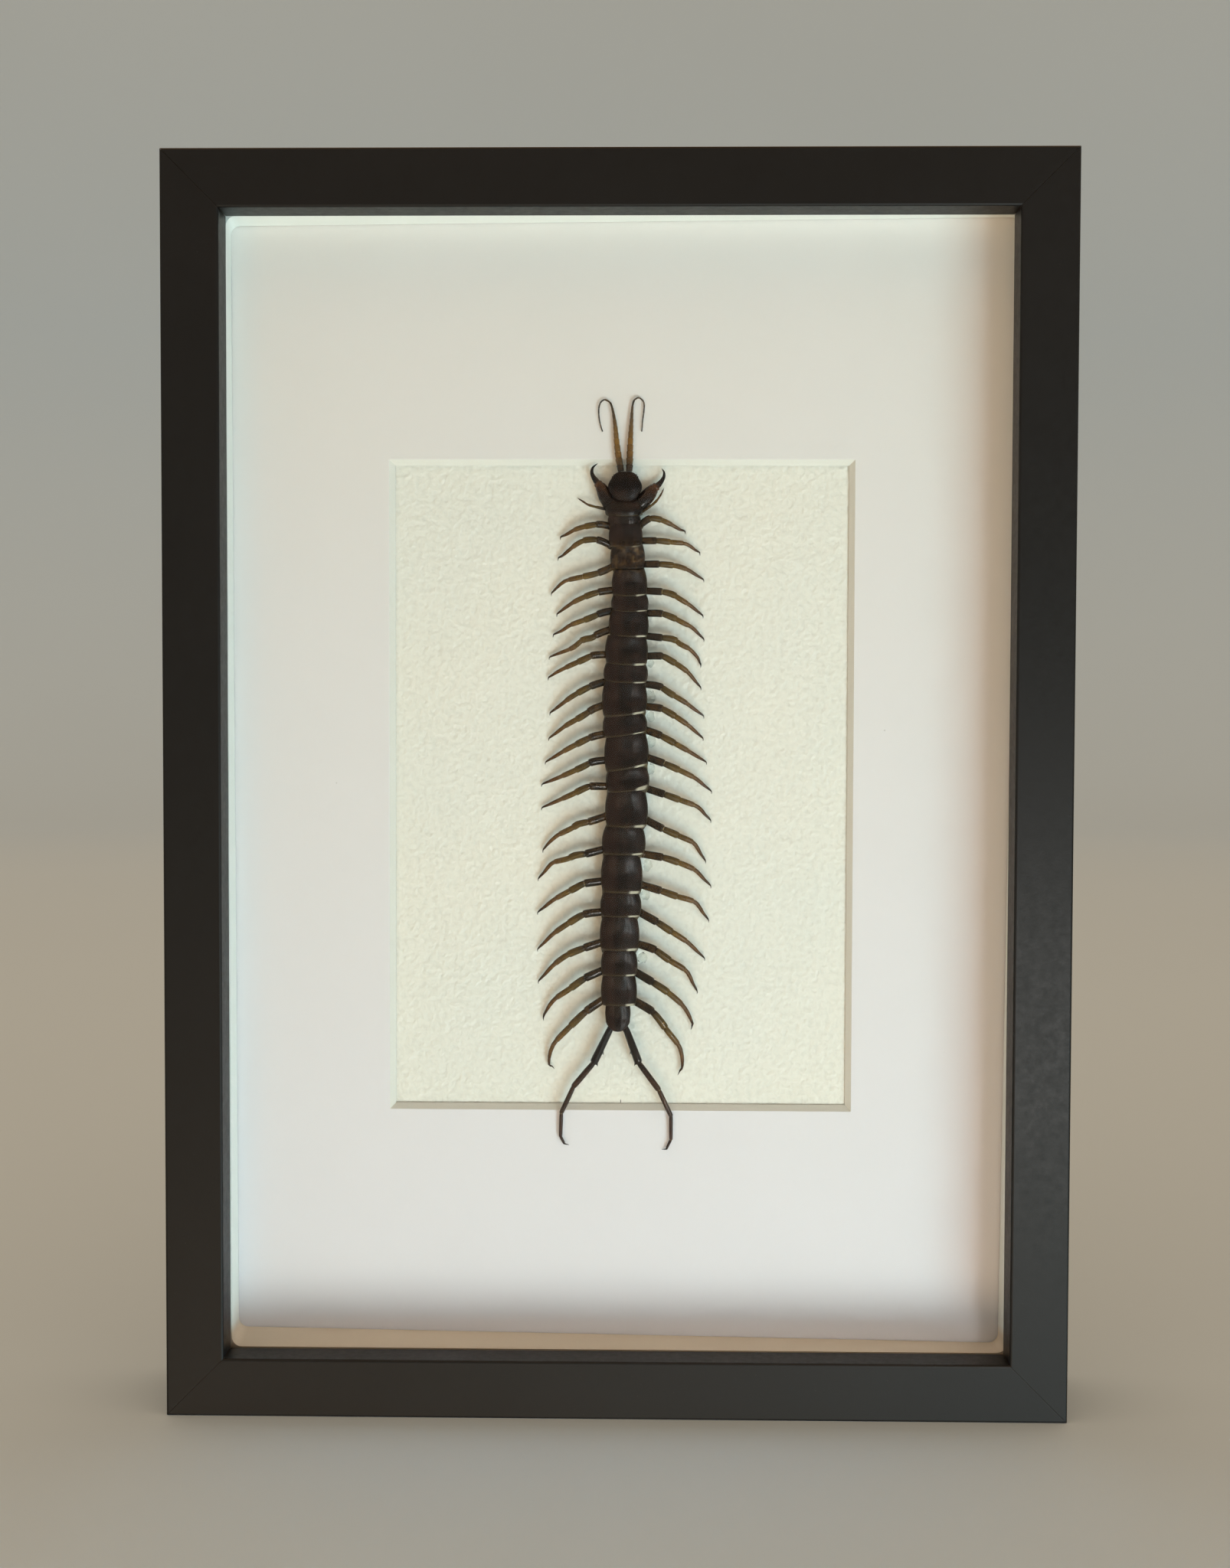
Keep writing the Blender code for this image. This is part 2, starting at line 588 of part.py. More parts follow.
def build_glue_beads(collection, material):
    """Clear domes on the paper, cut back to clear the body and the nearest legs."""
    clearance = new_collection("bead_clearance")
    grown = GAP / MM / BODY_FLATNESS
    body = build_trunk(clearance, material, grown)
    body.name = "body_clearance"
    make_helper(body)
    for name, pixels, radii, heights in limb_plan():
        if name.startswith("leg_right"):
            name += "_clearance"
            leg = build_limb(name, pixels, radii, heights, clearance, material, GAP / MM)
            make_helper(leg)
    for number, (pixel, radius) in enumerate(GLUE_BEADS, 1):
        radius *= MM
        shape = bmesh.new()
        bmesh.ops.create_uvsphere(shape, u_segments=12, v_segments=8, radius=radius)
        bmesh.ops.rotate(shape, verts=shape.verts, matrix=Matrix.Rotation(math.pi / 2, 3, "X"))
        bmesh.ops.scale(shape, vec=(1, BEAD_HEIGHT_SHARE, BEAD_LENGTH_SHARE), verts=shape.verts)
        whole = [*shape.verts, *shape.edges, *shape.faces]
        foot = bmesh.ops.bisect_plane(
            shape, geom=whole, plane_co=(0, 0, 0), plane_no=(0, 1, 0), clear_outer=True
        )
        rim = [item for item in foot["geom_cut"] if isinstance(item, bmesh.types.BMEdge)]
        bmesh.ops.holes_fill(shape, edges=rim)
        bead = add_bmesh(f"glue_bead_{number}", shape, collection, material)
        bead.location = specimen_point(pixel, GAP)
        cut = bead.modifiers.new("clearance", "BOOLEAN")
        cut.operation = "DIFFERENCE"
        cut.operand_type = "COLLECTION"
        cut.collection = clearance


def build():
    clear_scene()
    pieces = new_collection("framed_centipede")
    helpers = new_collection("cutters")
    black_foil = plain_material("black_foil", (0.012, 0.012, 0.014), 0.42)
    clear_pane = plain_material("clear_pane", (1, 1, 1), 0.02, transmission=1.0)
    white_card = plain_material("white_card", (0.8, 0.8, 0.76), 0.6)
    mat_board = plain_material("mat_board", (0.66, 0.65, 0.6), 0.8)
    rough_paper = plain_material("rough_paper", (0.68, 0.67, 0.57), 0.9)
    hardboard = plain_material("hardboard", (0.3, 0.18, 0.09), 0.75)
    steel = plain_material("steel", (0.6, 0.58, 0.55), 0.35, metallic=1.0)
    shell = plain_material("shell", (0.035, 0.02, 0.012), 0.25)
    clear_glue = plain_material("clear_glue", (0.9, 0.88, 0.8), 0.05, transmission=0.9)

    build_frame(pieces, black_foil)
    pane_width = FRAME_WIDTH - 2 * (FACE_WIDTH - REBATE_WIDTH + GAP)
    pane_height = FRAME_HEIGHT - 2 * (FACE_WIDTH - REBATE_WIDTH + GAP)
    build_slab("glazing", pane_width, pane_height, PANE_DEPTH, PANE_THICKNESS, pieces, clear_pane)
    build_spacer(pieces, helpers, white_card)
    build_mat(pieces, helpers, mat_board)
    build_slab("backing_paper", SHEET_WIDTH, SHEET_HEIGHT, PAPER_DEPTH, PAPER_THICKNESS, pieces, rough_paper)
    build_slab("backing_board", SHEET_WIDTH, SHEET_HEIGHT, BOARD_DEPTH, BOARD_THICKNESS, pieces, hardboard)
    build_tabs(pieces, steel)
    build_hanger(pieces, helpers, steel)
    build_centipede(pieces, shell)
    build_glue_beads(pieces, clear_glue)


build()
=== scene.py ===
"""The looks of a centipede specimen in a black box frame.

Metres, +Z up. The frame stands with its glazed front towards -Y. Each operator builds one group of pieces
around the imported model, and the panel lists them by group with their settings.
"""

import math
import random

import bmesh
import bpy
from bpy.props import FloatProperty, FloatVectorProperty, IntProperty, PointerProperty
from mathutils import Euler, Matrix, Vector, noise


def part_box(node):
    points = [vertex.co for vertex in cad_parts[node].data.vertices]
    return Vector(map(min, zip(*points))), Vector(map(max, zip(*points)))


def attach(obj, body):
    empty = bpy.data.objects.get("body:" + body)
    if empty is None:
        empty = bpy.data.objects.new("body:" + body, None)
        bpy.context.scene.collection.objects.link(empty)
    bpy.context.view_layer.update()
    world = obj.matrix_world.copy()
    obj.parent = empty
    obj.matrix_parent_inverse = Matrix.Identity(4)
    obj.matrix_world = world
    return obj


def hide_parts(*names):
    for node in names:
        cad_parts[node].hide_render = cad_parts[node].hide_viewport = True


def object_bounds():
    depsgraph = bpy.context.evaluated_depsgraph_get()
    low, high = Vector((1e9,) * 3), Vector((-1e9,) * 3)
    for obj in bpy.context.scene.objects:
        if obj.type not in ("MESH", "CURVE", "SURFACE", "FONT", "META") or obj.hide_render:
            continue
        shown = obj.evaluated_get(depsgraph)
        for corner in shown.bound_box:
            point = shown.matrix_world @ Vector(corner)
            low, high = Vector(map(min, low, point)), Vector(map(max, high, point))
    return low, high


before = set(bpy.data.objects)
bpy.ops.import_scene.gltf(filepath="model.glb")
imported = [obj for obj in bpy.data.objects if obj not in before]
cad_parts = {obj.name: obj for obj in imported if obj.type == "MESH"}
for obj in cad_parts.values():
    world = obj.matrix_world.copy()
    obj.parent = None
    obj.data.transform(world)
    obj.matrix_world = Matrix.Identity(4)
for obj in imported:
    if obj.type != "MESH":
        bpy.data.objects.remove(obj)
CAD_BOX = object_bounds()

bl_info = {
    "name": "Framed centipede specimen",
    "version": (1, 0, 0),
    "blender": (4, 5, 0),
    "location": "View3D > Sidebar > Specimen",
    "description": "Builds the frame, sheets, specimen and studio round the packed model",
    "category": "Object",
}

MM = 0.001
TO_VIEWER = Vector((0, -1, 0))
# Places closer together than this count as one
TOUCH = 0.01 * MM

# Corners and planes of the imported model
FRAME_LOW, FRAME_HIGH = CAD_BOX
FRONT_Y = FRAME_LOW.y
MIDDLE_Z = (FRAME_LOW.z + FRAME_HIGH.z) / 2
PAPER_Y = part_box("backing_paper")[0].y

# The rails' section
FACE_WIDTH = 14.7 * MM
LIP_DEPTH = 8.4 * MM
REBATE_WIDTH = 5.7 * MM
MITRE_GAP = 0.1 * MM

# The mat's window and its offset from the frame's centre
WINDOW_WIDTH = 121 * MM
WINDOW_HEIGHT = 170 * MM
WINDOW_CENTRE = Vector((0.8 * MM, 0, MIDDLE_Z + 0.3 * MM))

# The spacer ring's inner corners in mm, anticlockwise from bottom left, behind the lip and on the mat
SPACER_FRONT = ((-100.0, 14.3), (101.0, 14.2), (102.6, 306.5), (-100.3, 305.9))
SPACER_FOOT = ((-99.7, 17.3), (100.1, 14.6), (103.1, 307.1), (-100.5, 305.2))
SPACER_WALL = 2.0 * MM
SPACER_CORNER_RADIUS = 2.5 * MM
SPACER_ROWS = 6
SPACER_WAVE = 0.22 * MM
SPACER_WAVE_WIDTH = 38 * MM

# The heights over which a painted warm shade fades from the spacer's lower wall, and a painted cool light
# from the mat
SHADED_WALL = (17.5 * MM, 20 * MM)
PAINTED_COOL_LIGHT = (30 * MM, 300 * MM)
MAT_ARRIS = 0.06 * MM
PAPER_MESH = 0.62 * MM
PAPER_FADE = 1.5 * MM

# A steel point's outline: (share across, share of its length towards the board's middle)
TAB_OUTLINE = ((-0.5, -0.5), (-0.5, 0.28), (-0.2, 0.5), (0.2, 0.5), (0.5, 0.28), (0.5, -0.5))
TAB_CORNER_RADIUS = 0.8 * MM
TABS = 8

# The toothed hanger, from its nailed foot to its raised middle
HANGER_THICKNESS = 0.9 * MM
HANGER_FOOT = 8 * MM
HANGER_RAMP = 4 * MM
HANGER_RISE = 2.2 * MM
HANGER_TEETH = 7
HANGER_NOTCH = 1.27 * MM
NAIL_HEAD = (2.2 * MM, 2.2 * MM, 0.8 * MM)

# The photograph's camera, solved from the frame's corners in an image 1606 wide and 2048 high
FOCAL_PX = 2400
IMAGE_CENTRE_PX = Vector((803, 1024))
CAMERA_PLACE = Vector((7.4 * MM, FRONT_Y - 461.1 * MM, MIDDLE_Z + 17.8 * MM))
CAMERA_TURN = Euler((math.radians(87.995), math.radians(-0.152), math.radians(0.977)))
SENSOR_WIDTH = 36

# The specimen is placed through that camera, by its pixels and its height over the paper
PX_PER_MM = 5.02
BODY_HEIGHT = 3.2 * MM
BODY_FLATNESS = 0.52

# Back plates from the neck to the tail: (front row, rear row, left edge, right edge)
BACK_PLATES = (
    (655, 674, 790, 840),
    (675, 687, 793.6, 836.7),
    (688, 714, 795, 839),
    (714, 742, 797, 842),
    (748, 778, 799, 845),
    (780, 798, 798, 847),
    (801, 831, 795, 847),
    (833, 868, 790, 846),
    (869, 891, 788, 846),
    (893, 934, 786, 845),
    (936, 960, 787, 845),
    (962, 1004, 789, 847),
    (1006, 1033, 791, 848),
    (1036, 1080, 790, 846),
    (1084, 1116, 786, 843),
    (1121, 1166, 784.5, 839),
    (1169, 1197, 783.7, 837.6),
    (1201, 1241, 783, 835),
    (1245, 1274, 784.5, 832.6),
    (1275, 1313, 784.5, 831.8),
    (1314, 1346, 790, 823.5),
)

# Leg joints from root to claw, one leg for each back plate but the last
LEFT_LEGS = (
    ((790, 665), (769.6, 660), (761, 655), (754, 650.6)),
    ((793, 686.5), (783, 685), (770, 686.5), (753, 691), (740, 698), (731.5, 705.6)),
    ((794.5, 711), (782, 705.6), (768, 705), (756, 709), (745, 717), (735, 725.5), (728.6, 733)),
    ((799, 740.5), (790, 745), (776, 750), (758, 754), (738, 759), (728, 767), (720, 779)),
    ((798.6, 771), (784, 773), (770, 777), (751, 785.5), (738, 794), (727, 806)),
    ((798, 798), (784.5, 801), (771, 807), (746, 816), (735, 823), (722, 833)),
    ((794.5, 823), (781, 828), (773, 833), (761, 836), (748, 846), (717, 862)),
    ((789.5, 855), (774.6, 856), (761, 862), (745, 869), (728, 877.5), (715.7, 889)),
    ((788, 891), (774.6, 895), (761, 901.6), (745, 911), (733, 920), (718, 935)),
    ((785, 922), (774.6, 926), (761, 935), (740, 947), (716.5, 968)),
    ((788, 959), (774.6, 962), (761, 968), (738, 980), (712, 999)),
    ((789, 993), (774, 995), (760, 1002), (733, 1014), (707, 1028)),
    ((790, 1027), (771, 1027), (760, 1031), (748, 1037), (730, 1045), (707, 1058.6)),
    ((788, 1067), (770, 1073), (756, 1076), (746, 1082), (728, 1091), (716.5, 1101), (709, 1114)),
    ((785, 1110), (765, 1115), (751, 1117), (741, 1121.6), (721.5, 1127), (703, 1151)),
    ((784, 1151), (763, 1154), (751, 1160), (743, 1164), (723, 1175), (702, 1195)),
    ((784, 1191), (763, 1194), (745, 1204), (723, 1219), (702, 1243)),
    ((784, 1231), (763, 1238), (741, 1247), (723, 1260), (703, 1285)),
    ((785, 1268), (763, 1278), (743, 1292), (723, 1306), (711.6, 1323), (710, 1333)),
    ((788, 1305), (765, 1321), (745, 1340), (724, 1362), (718, 1377), (717, 1390.5), (724, 1396)),
)
RIGHT_LEGS = (
    ((840, 667.5), (854, 657.5), (862, 647.6), (867, 637.6)),
    ((837, 685), (847, 678), (859, 678), (874, 684), (887, 691.5), (895, 698)),
    ((840, 706.4), (859, 706.4), (874, 708), (895.6, 710.6), (907, 718), (914, 726)),
    ((843, 737), (861.6, 737), (874, 738), (886.5, 740), (899, 745), (919, 761)),
    ((847, 772), (864, 773), (877, 776), (887, 782), (900.6, 790.5), (918, 808)),
    ((847, 801), (864, 801.6), (879, 807), (890.6, 813), (904, 820), (919, 838.6)),
    ((846, 831), (864, 833), (879, 835), (889, 842), (900.6, 848), (910.5, 858.5), (914.7, 872.6)),
    ((846, 857), (864, 857), (876, 863), (889, 871), (899, 879), (915, 902)),
    ((846, 894), (861, 896.6), (874, 905), (894, 917), (905.6, 925.6), (919, 939)),
    ((846, 923), (862, 925), (874, 931), (889, 940.5), (900.6, 949), (918, 968)),
    ((845, 954), (861, 960), (874, 967), (897, 980), (922.5, 999)),
    ((847.5, 990), (866.6, 997), (886, 1005.5), (907, 1016), (929, 1037)),
    ((848, 1031), (869, 1038), (887, 1044.5), (910.5, 1053.6), (928, 1075)),
    ((847.5, 1073), (866, 1082.6), (887, 1092), (905.6, 1101), (921, 1128)),
    ((844, 1116), (866, 1120), (886, 1126.5), (907, 1136), (928, 1160.5)),
    ((842, 1157), (862, 1163), (882, 1170), (907, 1178), (925, 1205)),
    ((838, 1193), (857.5, 1204), (874, 1215), (897, 1230), (920, 1255)),
    ((834, 1233), (854, 1240), (874, 1254), (896, 1268), (910, 1298)),
    ((831, 1270), (852.5, 1283), (872, 1296), (893, 1315), (904, 1336), (902, 1345)),
    ((828.5, 1307), (852.5, 1322), (872, 1347), (888, 1369), (891, 1392), (885, 1404)),
)
# Heights over the paper along a limb: (share of its length, height in mm)
LEG_HEIGHTS = ((0.0, 2.6), (0.22, 3.55), (0.6, 2.5), (0.85, 1.2), (1.0, 0.55))

# A limb's articles from its root: (end share, width at its start, width at its end), widths as radii in mm
WALKING_ARTICLES = (
    (0.215, 0.96, 1.0),
    (0.43, 0.86, 0.88),
    (0.64, 0.74, 0.66),
    (0.85, 0.58, 0.4),
    (0.955, 0.4, 0.2),
    (1.0, 0.17, 0.03),
)
CLAW_PX = 4.5
FIRST_LEG_ARTICLES = (
    (0.3, 0.42, 0.4),
    (0.55, 0.36, 0.36),
    (0.8, 0.3, 0.26),
    (0.93, 0.24, 0.16),
    (1.0, 0.13, 0.03),
)

LEFT_TERMINAL_LEG = (
    (803, 1331), (796, 1345), (775, 1388), (749, 1418.6),
    (733, 1453), (732, 1484), (737, 1493.5), (743, 1495),
)
RIGHT_TERMINAL_LEG = (
    (811, 1331), (818, 1345), (834, 1388), (860, 1423),
    (876, 1457), (876, 1488), (870, 1500.5), (864, 1501),
)
TERMINAL_WIDTHS = ((0.84, 1.08), (0.78, 0.76), (0.66, 0.6), (0.54, 0.46), (0.4, 0.28), (0.22, 0.04))
TERMINAL_HEIGHTS = ((0.0, 3.1), (0.4, 3.5), (0.7, 3.1), (1.0, 2.4))

LEFT_ANTENNA = (
    (811, 616), (808, 599), (805.5, 580), (803.5, 558), (800.5, 538), (796.5, 526),
    (788, 522.6), (782.6, 530), (782, 543), (784, 555), (786.8, 564),
)
RIGHT_ANTENNA = (
    (821.5, 616), (822.3, 599), (823.3, 573), (824.6, 550), (826, 530), (829, 522),
    (835, 520), (840.6, 526), (840.8, 536), (839, 550), (838, 564),
)
ANTENNA_HEIGHTS = ((0.0, 3.2), (0.15, 3.1), (0.5, 2.8), (1.0, 2.3))
LEFT_POISON_CLAW = ((800, 664), (792, 651), (786, 639), (778, 628), (773, 619), (774, 611), (780.4, 605.5))
RIGHT_POISON_CLAW = ((834, 660), (844, 650), (853, 639), (861, 632), (866.4, 624), (867, 617), (863.8, 612))

# A dark fibre on the paper, by its pixel
FIBRE = (810.4, 1438.4)
FIBRE_SIZE = (0.1 * MM, 0.05 * MM, 0.52 * MM)
FIBRE_COLOUR = (0.04, 0.03, 0.025, 1)

GLUE_BEADS = 8

# Sections along a limb, as (share of its length, radius in mm)
POISON_CLAW_PROFILE = (
    (0.0, 1.8),
    (0.1, 1.95),
    (0.25, 1.95),
    (0.36, 1.78),
    (0.44, 1.5),
    (0.485, 1.36),
    (0.5, 1.1),
    (0.52, 1.16),
    (0.555, 1.12),
    (0.57, 0.8),
    (0.6, 0.8),
    (0.64, 0.72),
    (0.68, 0.63),
    (0.72, 0.56),
    (0.76, 0.5),
    (0.8, 0.44),
    (0.84, 0.38),
    (0.88, 0.31),
    (0.92, 0.24),
    (0.96, 0.15),
    (1.0, 0.03),
)
ANTENNA_WIDTHS = (
    (0.0, 0.88),
    (0.12, 0.88),
    (0.22, 0.77),
    (0.34, 0.63),
    (0.46, 0.46),
    (0.56, 0.3),
    (0.66, 0.22),
    (1.0, 0.15),
)
SPINE_PROFILE = ((0.0, 0.24), (0.4, 0.17), (0.8, 0.08), (1.0, 0.015))
SPINE_LENGTH = 0.85 * MM

# Along one article: (share of it, share of its width), narrow at its neck and swollen before its end
ARTICLE_PROFILE = (
    (0.0, 0.78),
    (0.03, 0.88),
    (0.1, 0.95),
    (0.3, 1.0),
    (0.65, 1.03),
    (0.88, 1.02),
    (0.955, 1.0),
    (0.99, 0.9),
)
# The same along one article of an antenna
GOBLET_PROFILE = ((0.0, 0.87), (0.2, 0.96), (0.65, 1.03), (0.88, 1.09), (0.98, 0.98))
LIMB_FLATNESS = 0.92
LIMB_SIDES = 14

# What the meshes carry for their materials
LIMB_LAYERS = ("along", "joint", "tone")
PLATE_LAYERS = ("across", "lengthwise", "damage", "polish")

# Width of one plate along its length, as (share of its length, share of its width)
PLATE_WIDTHS = ((0.0, 0.86), (0.15, 0.93), (0.38, 0.99), (0.6, 1.0), (0.8, 0.975), (0.92, 0.94), (1.0, 0.88))
TAIL_WIDTHS = ((0.0, 0.94), (0.35, 1.0), (0.7, 0.93), (0.88, 0.72), (1.0, 0.42))
NECK_WIDTHS = ((0.0, 1.06), (0.35, 1.07), (0.6, 1.0), (0.8, 0.93), (0.92, 0.88), (1.0, 0.8))
SUTURES = (-0.3, 0.44)
# How far some plates' rear borders slant up to the right, in pixels at the plate's side
SKEWS = {6: -0.8, 7: -1.0, 8: -1.0, 9: 3.2, 10: 4.0, 11: 4.6, 12: 2.6, 15: -0.8}
DAMAGED_PLATE = 3
# The plate whose pale right border, partly wear and partly painted glint, reaches further forward
WEAR_AND_GLINT_PLATE = 12
# Polished spots on the front plates: (share across, share along, half width, half length)
POLISHED = {
    0: ((0.8, 0.75, 0.25, 0.35),),
    1: ((0.5, 0.65, 0.32, 0.28),),
    2: ((-0.2, 0.9, 0.2, 0.2), (0.66, 0.88, 0.25, 0.2)),
}
# How much lower the soft body lies under these plates, in mm
SUNKEN = {1: 0.7, 3: 0.8}
# Bulges of the third plate: (share across, share along, half width)
BULGED_PLATE = 2
BULGES = ((-0.2, 0.86, 0.12), (0.62, 0.84, 0.15))

# The head plate by its pixels, and its eyes as shares across and forward
HEAD_CENTRE = (816.2, 636.0)
HEAD_HALF_SIZE = (21.6, 20.6)
HEAD_RISE = 2.25 * MM
EYE_RADIUS = 0.26 * MM
EYES = ((0.76, 0.6), (0.86, 0.48), (0.8, 0.74), (0.9, 0.62))

# The lamps: (name, way from the frame's middle, distance, width and height), in metres
LAMPS = (
    ("key", (0.7, -1.0, -0.7), 1.5, (0.72, 0.72)),
    ("fill", (-0.15, -1.0, -0.75), 2.2, (1.2, 1.0)),
    ("glint", (0.5, -1.0, -0.34), 0.45, (0.03, 0.03)),
)


# The limits and units that the settings share
COLOUR = {"min": 0, "max": 1, "subtype": "COLOR"}
SHARE = {"min": 0, "max": 1, "subtype": "FACTOR"}
LENGTH = {"min": 0, "unit": "LENGTH"}
POWER = {"min": 0, "unit": "POWER"}


class SPECIMEN_PG_frame(bpy.types.PropertyGroup):
    """Sizes and colours of the rails, the pane and the back."""

    foil_colour: FloatVectorProperty(
        name="Foil", description="Colour of the rails' black foil", default=(0.0045, 0.004, 0.0042), **COLOUR
    )
    foil_roughness: FloatProperty(
        name="Foil roughness", description="Mean roughness of the foil", default=0.44, **SHARE
    )
    fibreboard_colour: FloatVectorProperty(
        name="Fibreboard", description="Colour of the rails' bare inside", default=(0.28, 0.18, 0.1), **COLOUR
    )
    arris_radius: FloatProperty(
        name="Arris", description="Rounding of a rail's edges", default=0.6 * MM, **LENGTH
    )
    hardboard_colour: FloatVectorProperty(
        name="Hardboard", description="Colour of the backing board", default=(0.27, 0.155, 0.075), **COLOUR
    )
    steel_roughness: FloatProperty(
        name="Steel roughness", description="Mean roughness of the tabs and the hanger", default=0.32, **SHARE
    )


class SPECIMEN_PG_sheets(bpy.types.PropertyGroup):
    """Sizes and colours of the spacer, the mat and the paper."""

    card_colour: FloatVectorProperty(
        name="Card", description="Colour of the spacer", default=(0.84, 0.86, 0.82), **COLOUR
    )
    mat_colour: FloatVectorProperty(
        name="Mat", description="Colour of the mat's face", default=(0.78, 0.77, 0.755), **COLOUR
    )
    core_colour: FloatVectorProperty(
        name="Mat core", description="Colour of the cut bevel", default=(0.75, 0.74, 0.68), **COLOUR
    )
    paper_colour: FloatVectorProperty(
        name="Paper", description="Colour of the rough paper", default=(0.84, 0.83, 0.75), **COLOUR
    )
    paper_grain: FloatProperty(
        name="Paper grain", description="Width of one bump of the paper", default=1.25 * MM, **LENGTH
    )
    paper_relief: FloatProperty(
        name="Paper relief", description="Height of the paper's bumps", default=0.08 * MM, **LENGTH
    )


class SPECIMEN_PG_animal(bpy.types.PropertyGroup):
    """Sizes and colours of the centipede and the glue that holds it."""

    plate_colour: FloatVectorProperty(
        name="Back plates", description="Main colour of the back", default=(0.011, 0.0065, 0.005), **COLOUR
    )
    left_flush: FloatVectorProperty(
        name="Left flush",
        description="Redder left third of the plates",
        default=(0.021, 0.0105, 0.0075),
        **COLOUR,
    )
    border_colour: FloatVectorProperty(
        name="Plate borders", description="Olive tan of the borders", default=(0.05, 0.034, 0.015), **COLOUR
    )
    # Partly wear, partly a painted glint on the rear lips
    wear_and_glint_colour: FloatVectorProperty(
        name="Worn borders and painted glint", description="Pale right ends of borders", default=(0.48, 0.44, 0.34), **COLOUR
    )
    membrane_colour: FloatVectorProperty(
        name="Membrane", description="Skin between the plates", default=(0.1, 0.07, 0.025), **COLOUR
    )
    plate_thickness: FloatProperty(
        name="Plate thickness", description="Thickness of one back plate", default=0.14 * MM, **LENGTH
    )
    antenna_articles: IntProperty(
        name="Antenna articles", description="Number of articles in one antenna", default=19, min=4
    )
    glue_colour: FloatVectorProperty(
        name="Glue", description="Tint of the clear glue", default=(0.72, 0.73, 0.71), **COLOUR
    )


class SPECIMEN_PG_studio(bpy.types.PropertyGroup):
    """The light and the floor."""

    key_power: FloatProperty(
        name="Key light", description="Power of the cool lamp at the lower right", default=10.0, **POWER
    )
    key_colour: FloatVectorProperty(
        name="Key colour", description="Colour of the key light", default=(0.57, 0.9, 1.0), **COLOUR
    )
    fill_power: FloatProperty(
        name="Fill light", description="Power of the warm lamp low in front", default=11.0, **POWER
    )
    fill_colour: FloatVectorProperty(
        name="Fill colour", description="Colour of the fill light", default=(1.0, 0.7, 0.42), **COLOUR
    )
    glint_power: FloatProperty(
        name="Glint light", description="Power of the lamp that glints on the shell", default=0.3, **POWER
    )
    glint_colour: FloatVectorProperty(
        name="Glint colour", description="Colour of the glint light", default=(1.0, 0.97, 0.93), **COLOUR
    )
    ambient_strength: FloatProperty(
        name="Ambient strength", description="Strength of the soft light all round", default=0.76, min=0
    )
    ambient_colour: FloatVectorProperty(
        name="Ambient colour", description="Colour of that soft light", default=(1.0, 0.65, 0.37), **COLOUR
    )
    floor_colour: FloatVectorProperty(
        name="Floor", description="Colour of the pale floor", default=(0.6, 0.76, 0.94), **COLOUR
    )


def add_node(tree, kind, inputs=None, **settings):
    """A new shader node, with its inputs set or joined."""
    node = tree.nodes.new(kind)
    for key, value in settings.items():
        setattr(node, key, value)
    for socket, value in (inputs or {}).items():
        if isinstance(value, bpy.types.NodeSocket):
            tree.links.new(value, node.inputs[socket])
        else:
            node.inputs[socket].default_value = value
    return node


def new_material(name, **sockets):
    """A material with plain values on the shader's own sockets."""
    material = bpy.data.materials.new(name)
    material.use_nodes = True
    shader = material.node_tree.nodes["Principled BSDF"]
    for socket, value in sockets.items():
        shader.inputs[socket.replace("_", " ")].default_value = value
    return material


def join_shader(material, **sockets):
    """Join outputs to the shader's sockets."""
    shader = material.node_tree.nodes["Principled BSDF"]
    for socket, value in sockets.items():
        material.node_tree.links.new(value, shader.inputs[socket.replace("_", " ")])


def textured_material(name, **sockets):
    """A material, its node tree and its Object coordinates."""
    material = new_material(name, **sockets)
    tree = material.node_tree
    return material, tree, add_node(tree, "ShaderNodeTexCoord").outputs["Object"]


def scaled(colour, *factors):
    """A colour with its channels multiplied by one factor or by three."""
    if len(factors) == 1:
        factors *= 3
    return tuple(channel * factor for channel, factor in zip(colour, factors))


def grain(tree, place, width, detail=2.0, roughness=0.5, distortion=0.0):
    """Noise whose spots are about this wide, from 0 to 1."""
    inputs = {"Vector": place, "Scale": 0.6 / width, "Detail": detail}
    inputs.update({"Roughness": roughness, "Distortion": distortion})
    return add_node(tree, "ShaderNodeTexNoise", inputs).outputs["Fac"]


def stretched(tree, place, stretch):
    """Coordinates stretched along the axes, so that a pattern on them runs longer that way."""
    scale = [1 / share for share in stretch]
    return add_node(tree, "ShaderNodeMapping", {"Vector": place, "Scale": scale}).outputs["Vector"]


def attribute(tree, name):
    return add_node(tree, "ShaderNodeAttribute", attribute_name=name).outputs["Fac"]


def ramp(tree, factor, stops):
    """A colour ramp through (position, colour) stops; a plain number is a grey."""
    node = add_node(tree, "ShaderNodeValToRGB", {"Fac": factor})
    elements = node.color_ramp.elements
    while len(elements) > 1:
        elements.remove(elements[-1])
    for index, (position, colour) in enumerate(stops):
        element = elements[0] if index == 0 else elements.new(position)
        element.position = position
        grey = isinstance(colour, (int, float))
        element.color = (colour, colour, colour, 1) if grey else (*colour, 1)
    return node.outputs["Color"]


def specks(tree, place, spacing, size, edge):
    """Small dots about this far apart: 1 inside their size and 0 outside their edge."""
    inputs = {"Vector": place, "Scale": 1 / spacing, "Randomness": 1.0}
    distance = add_node(tree, "ShaderNodeTexVoronoi", inputs).outputs["Distance"]
    return ramp(tree, distance, ((0.0, 1.0), (size, 1.0), (edge, 0.0)))


def downwards(tree, place, low, high):
    """A factor that is 0 at the upper height and grows to 1 at the lower one."""
    height = add_node(tree, "ShaderNodeSeparateXYZ", {"Vector": place}).outputs["Z"]
    inputs = {"Value": height, "From Min": low, "From Max": high, "To Min": 1.0, "To Max": 0.0}
    return add_node(tree, "ShaderNodeMapRange", inputs).outputs["Result"]


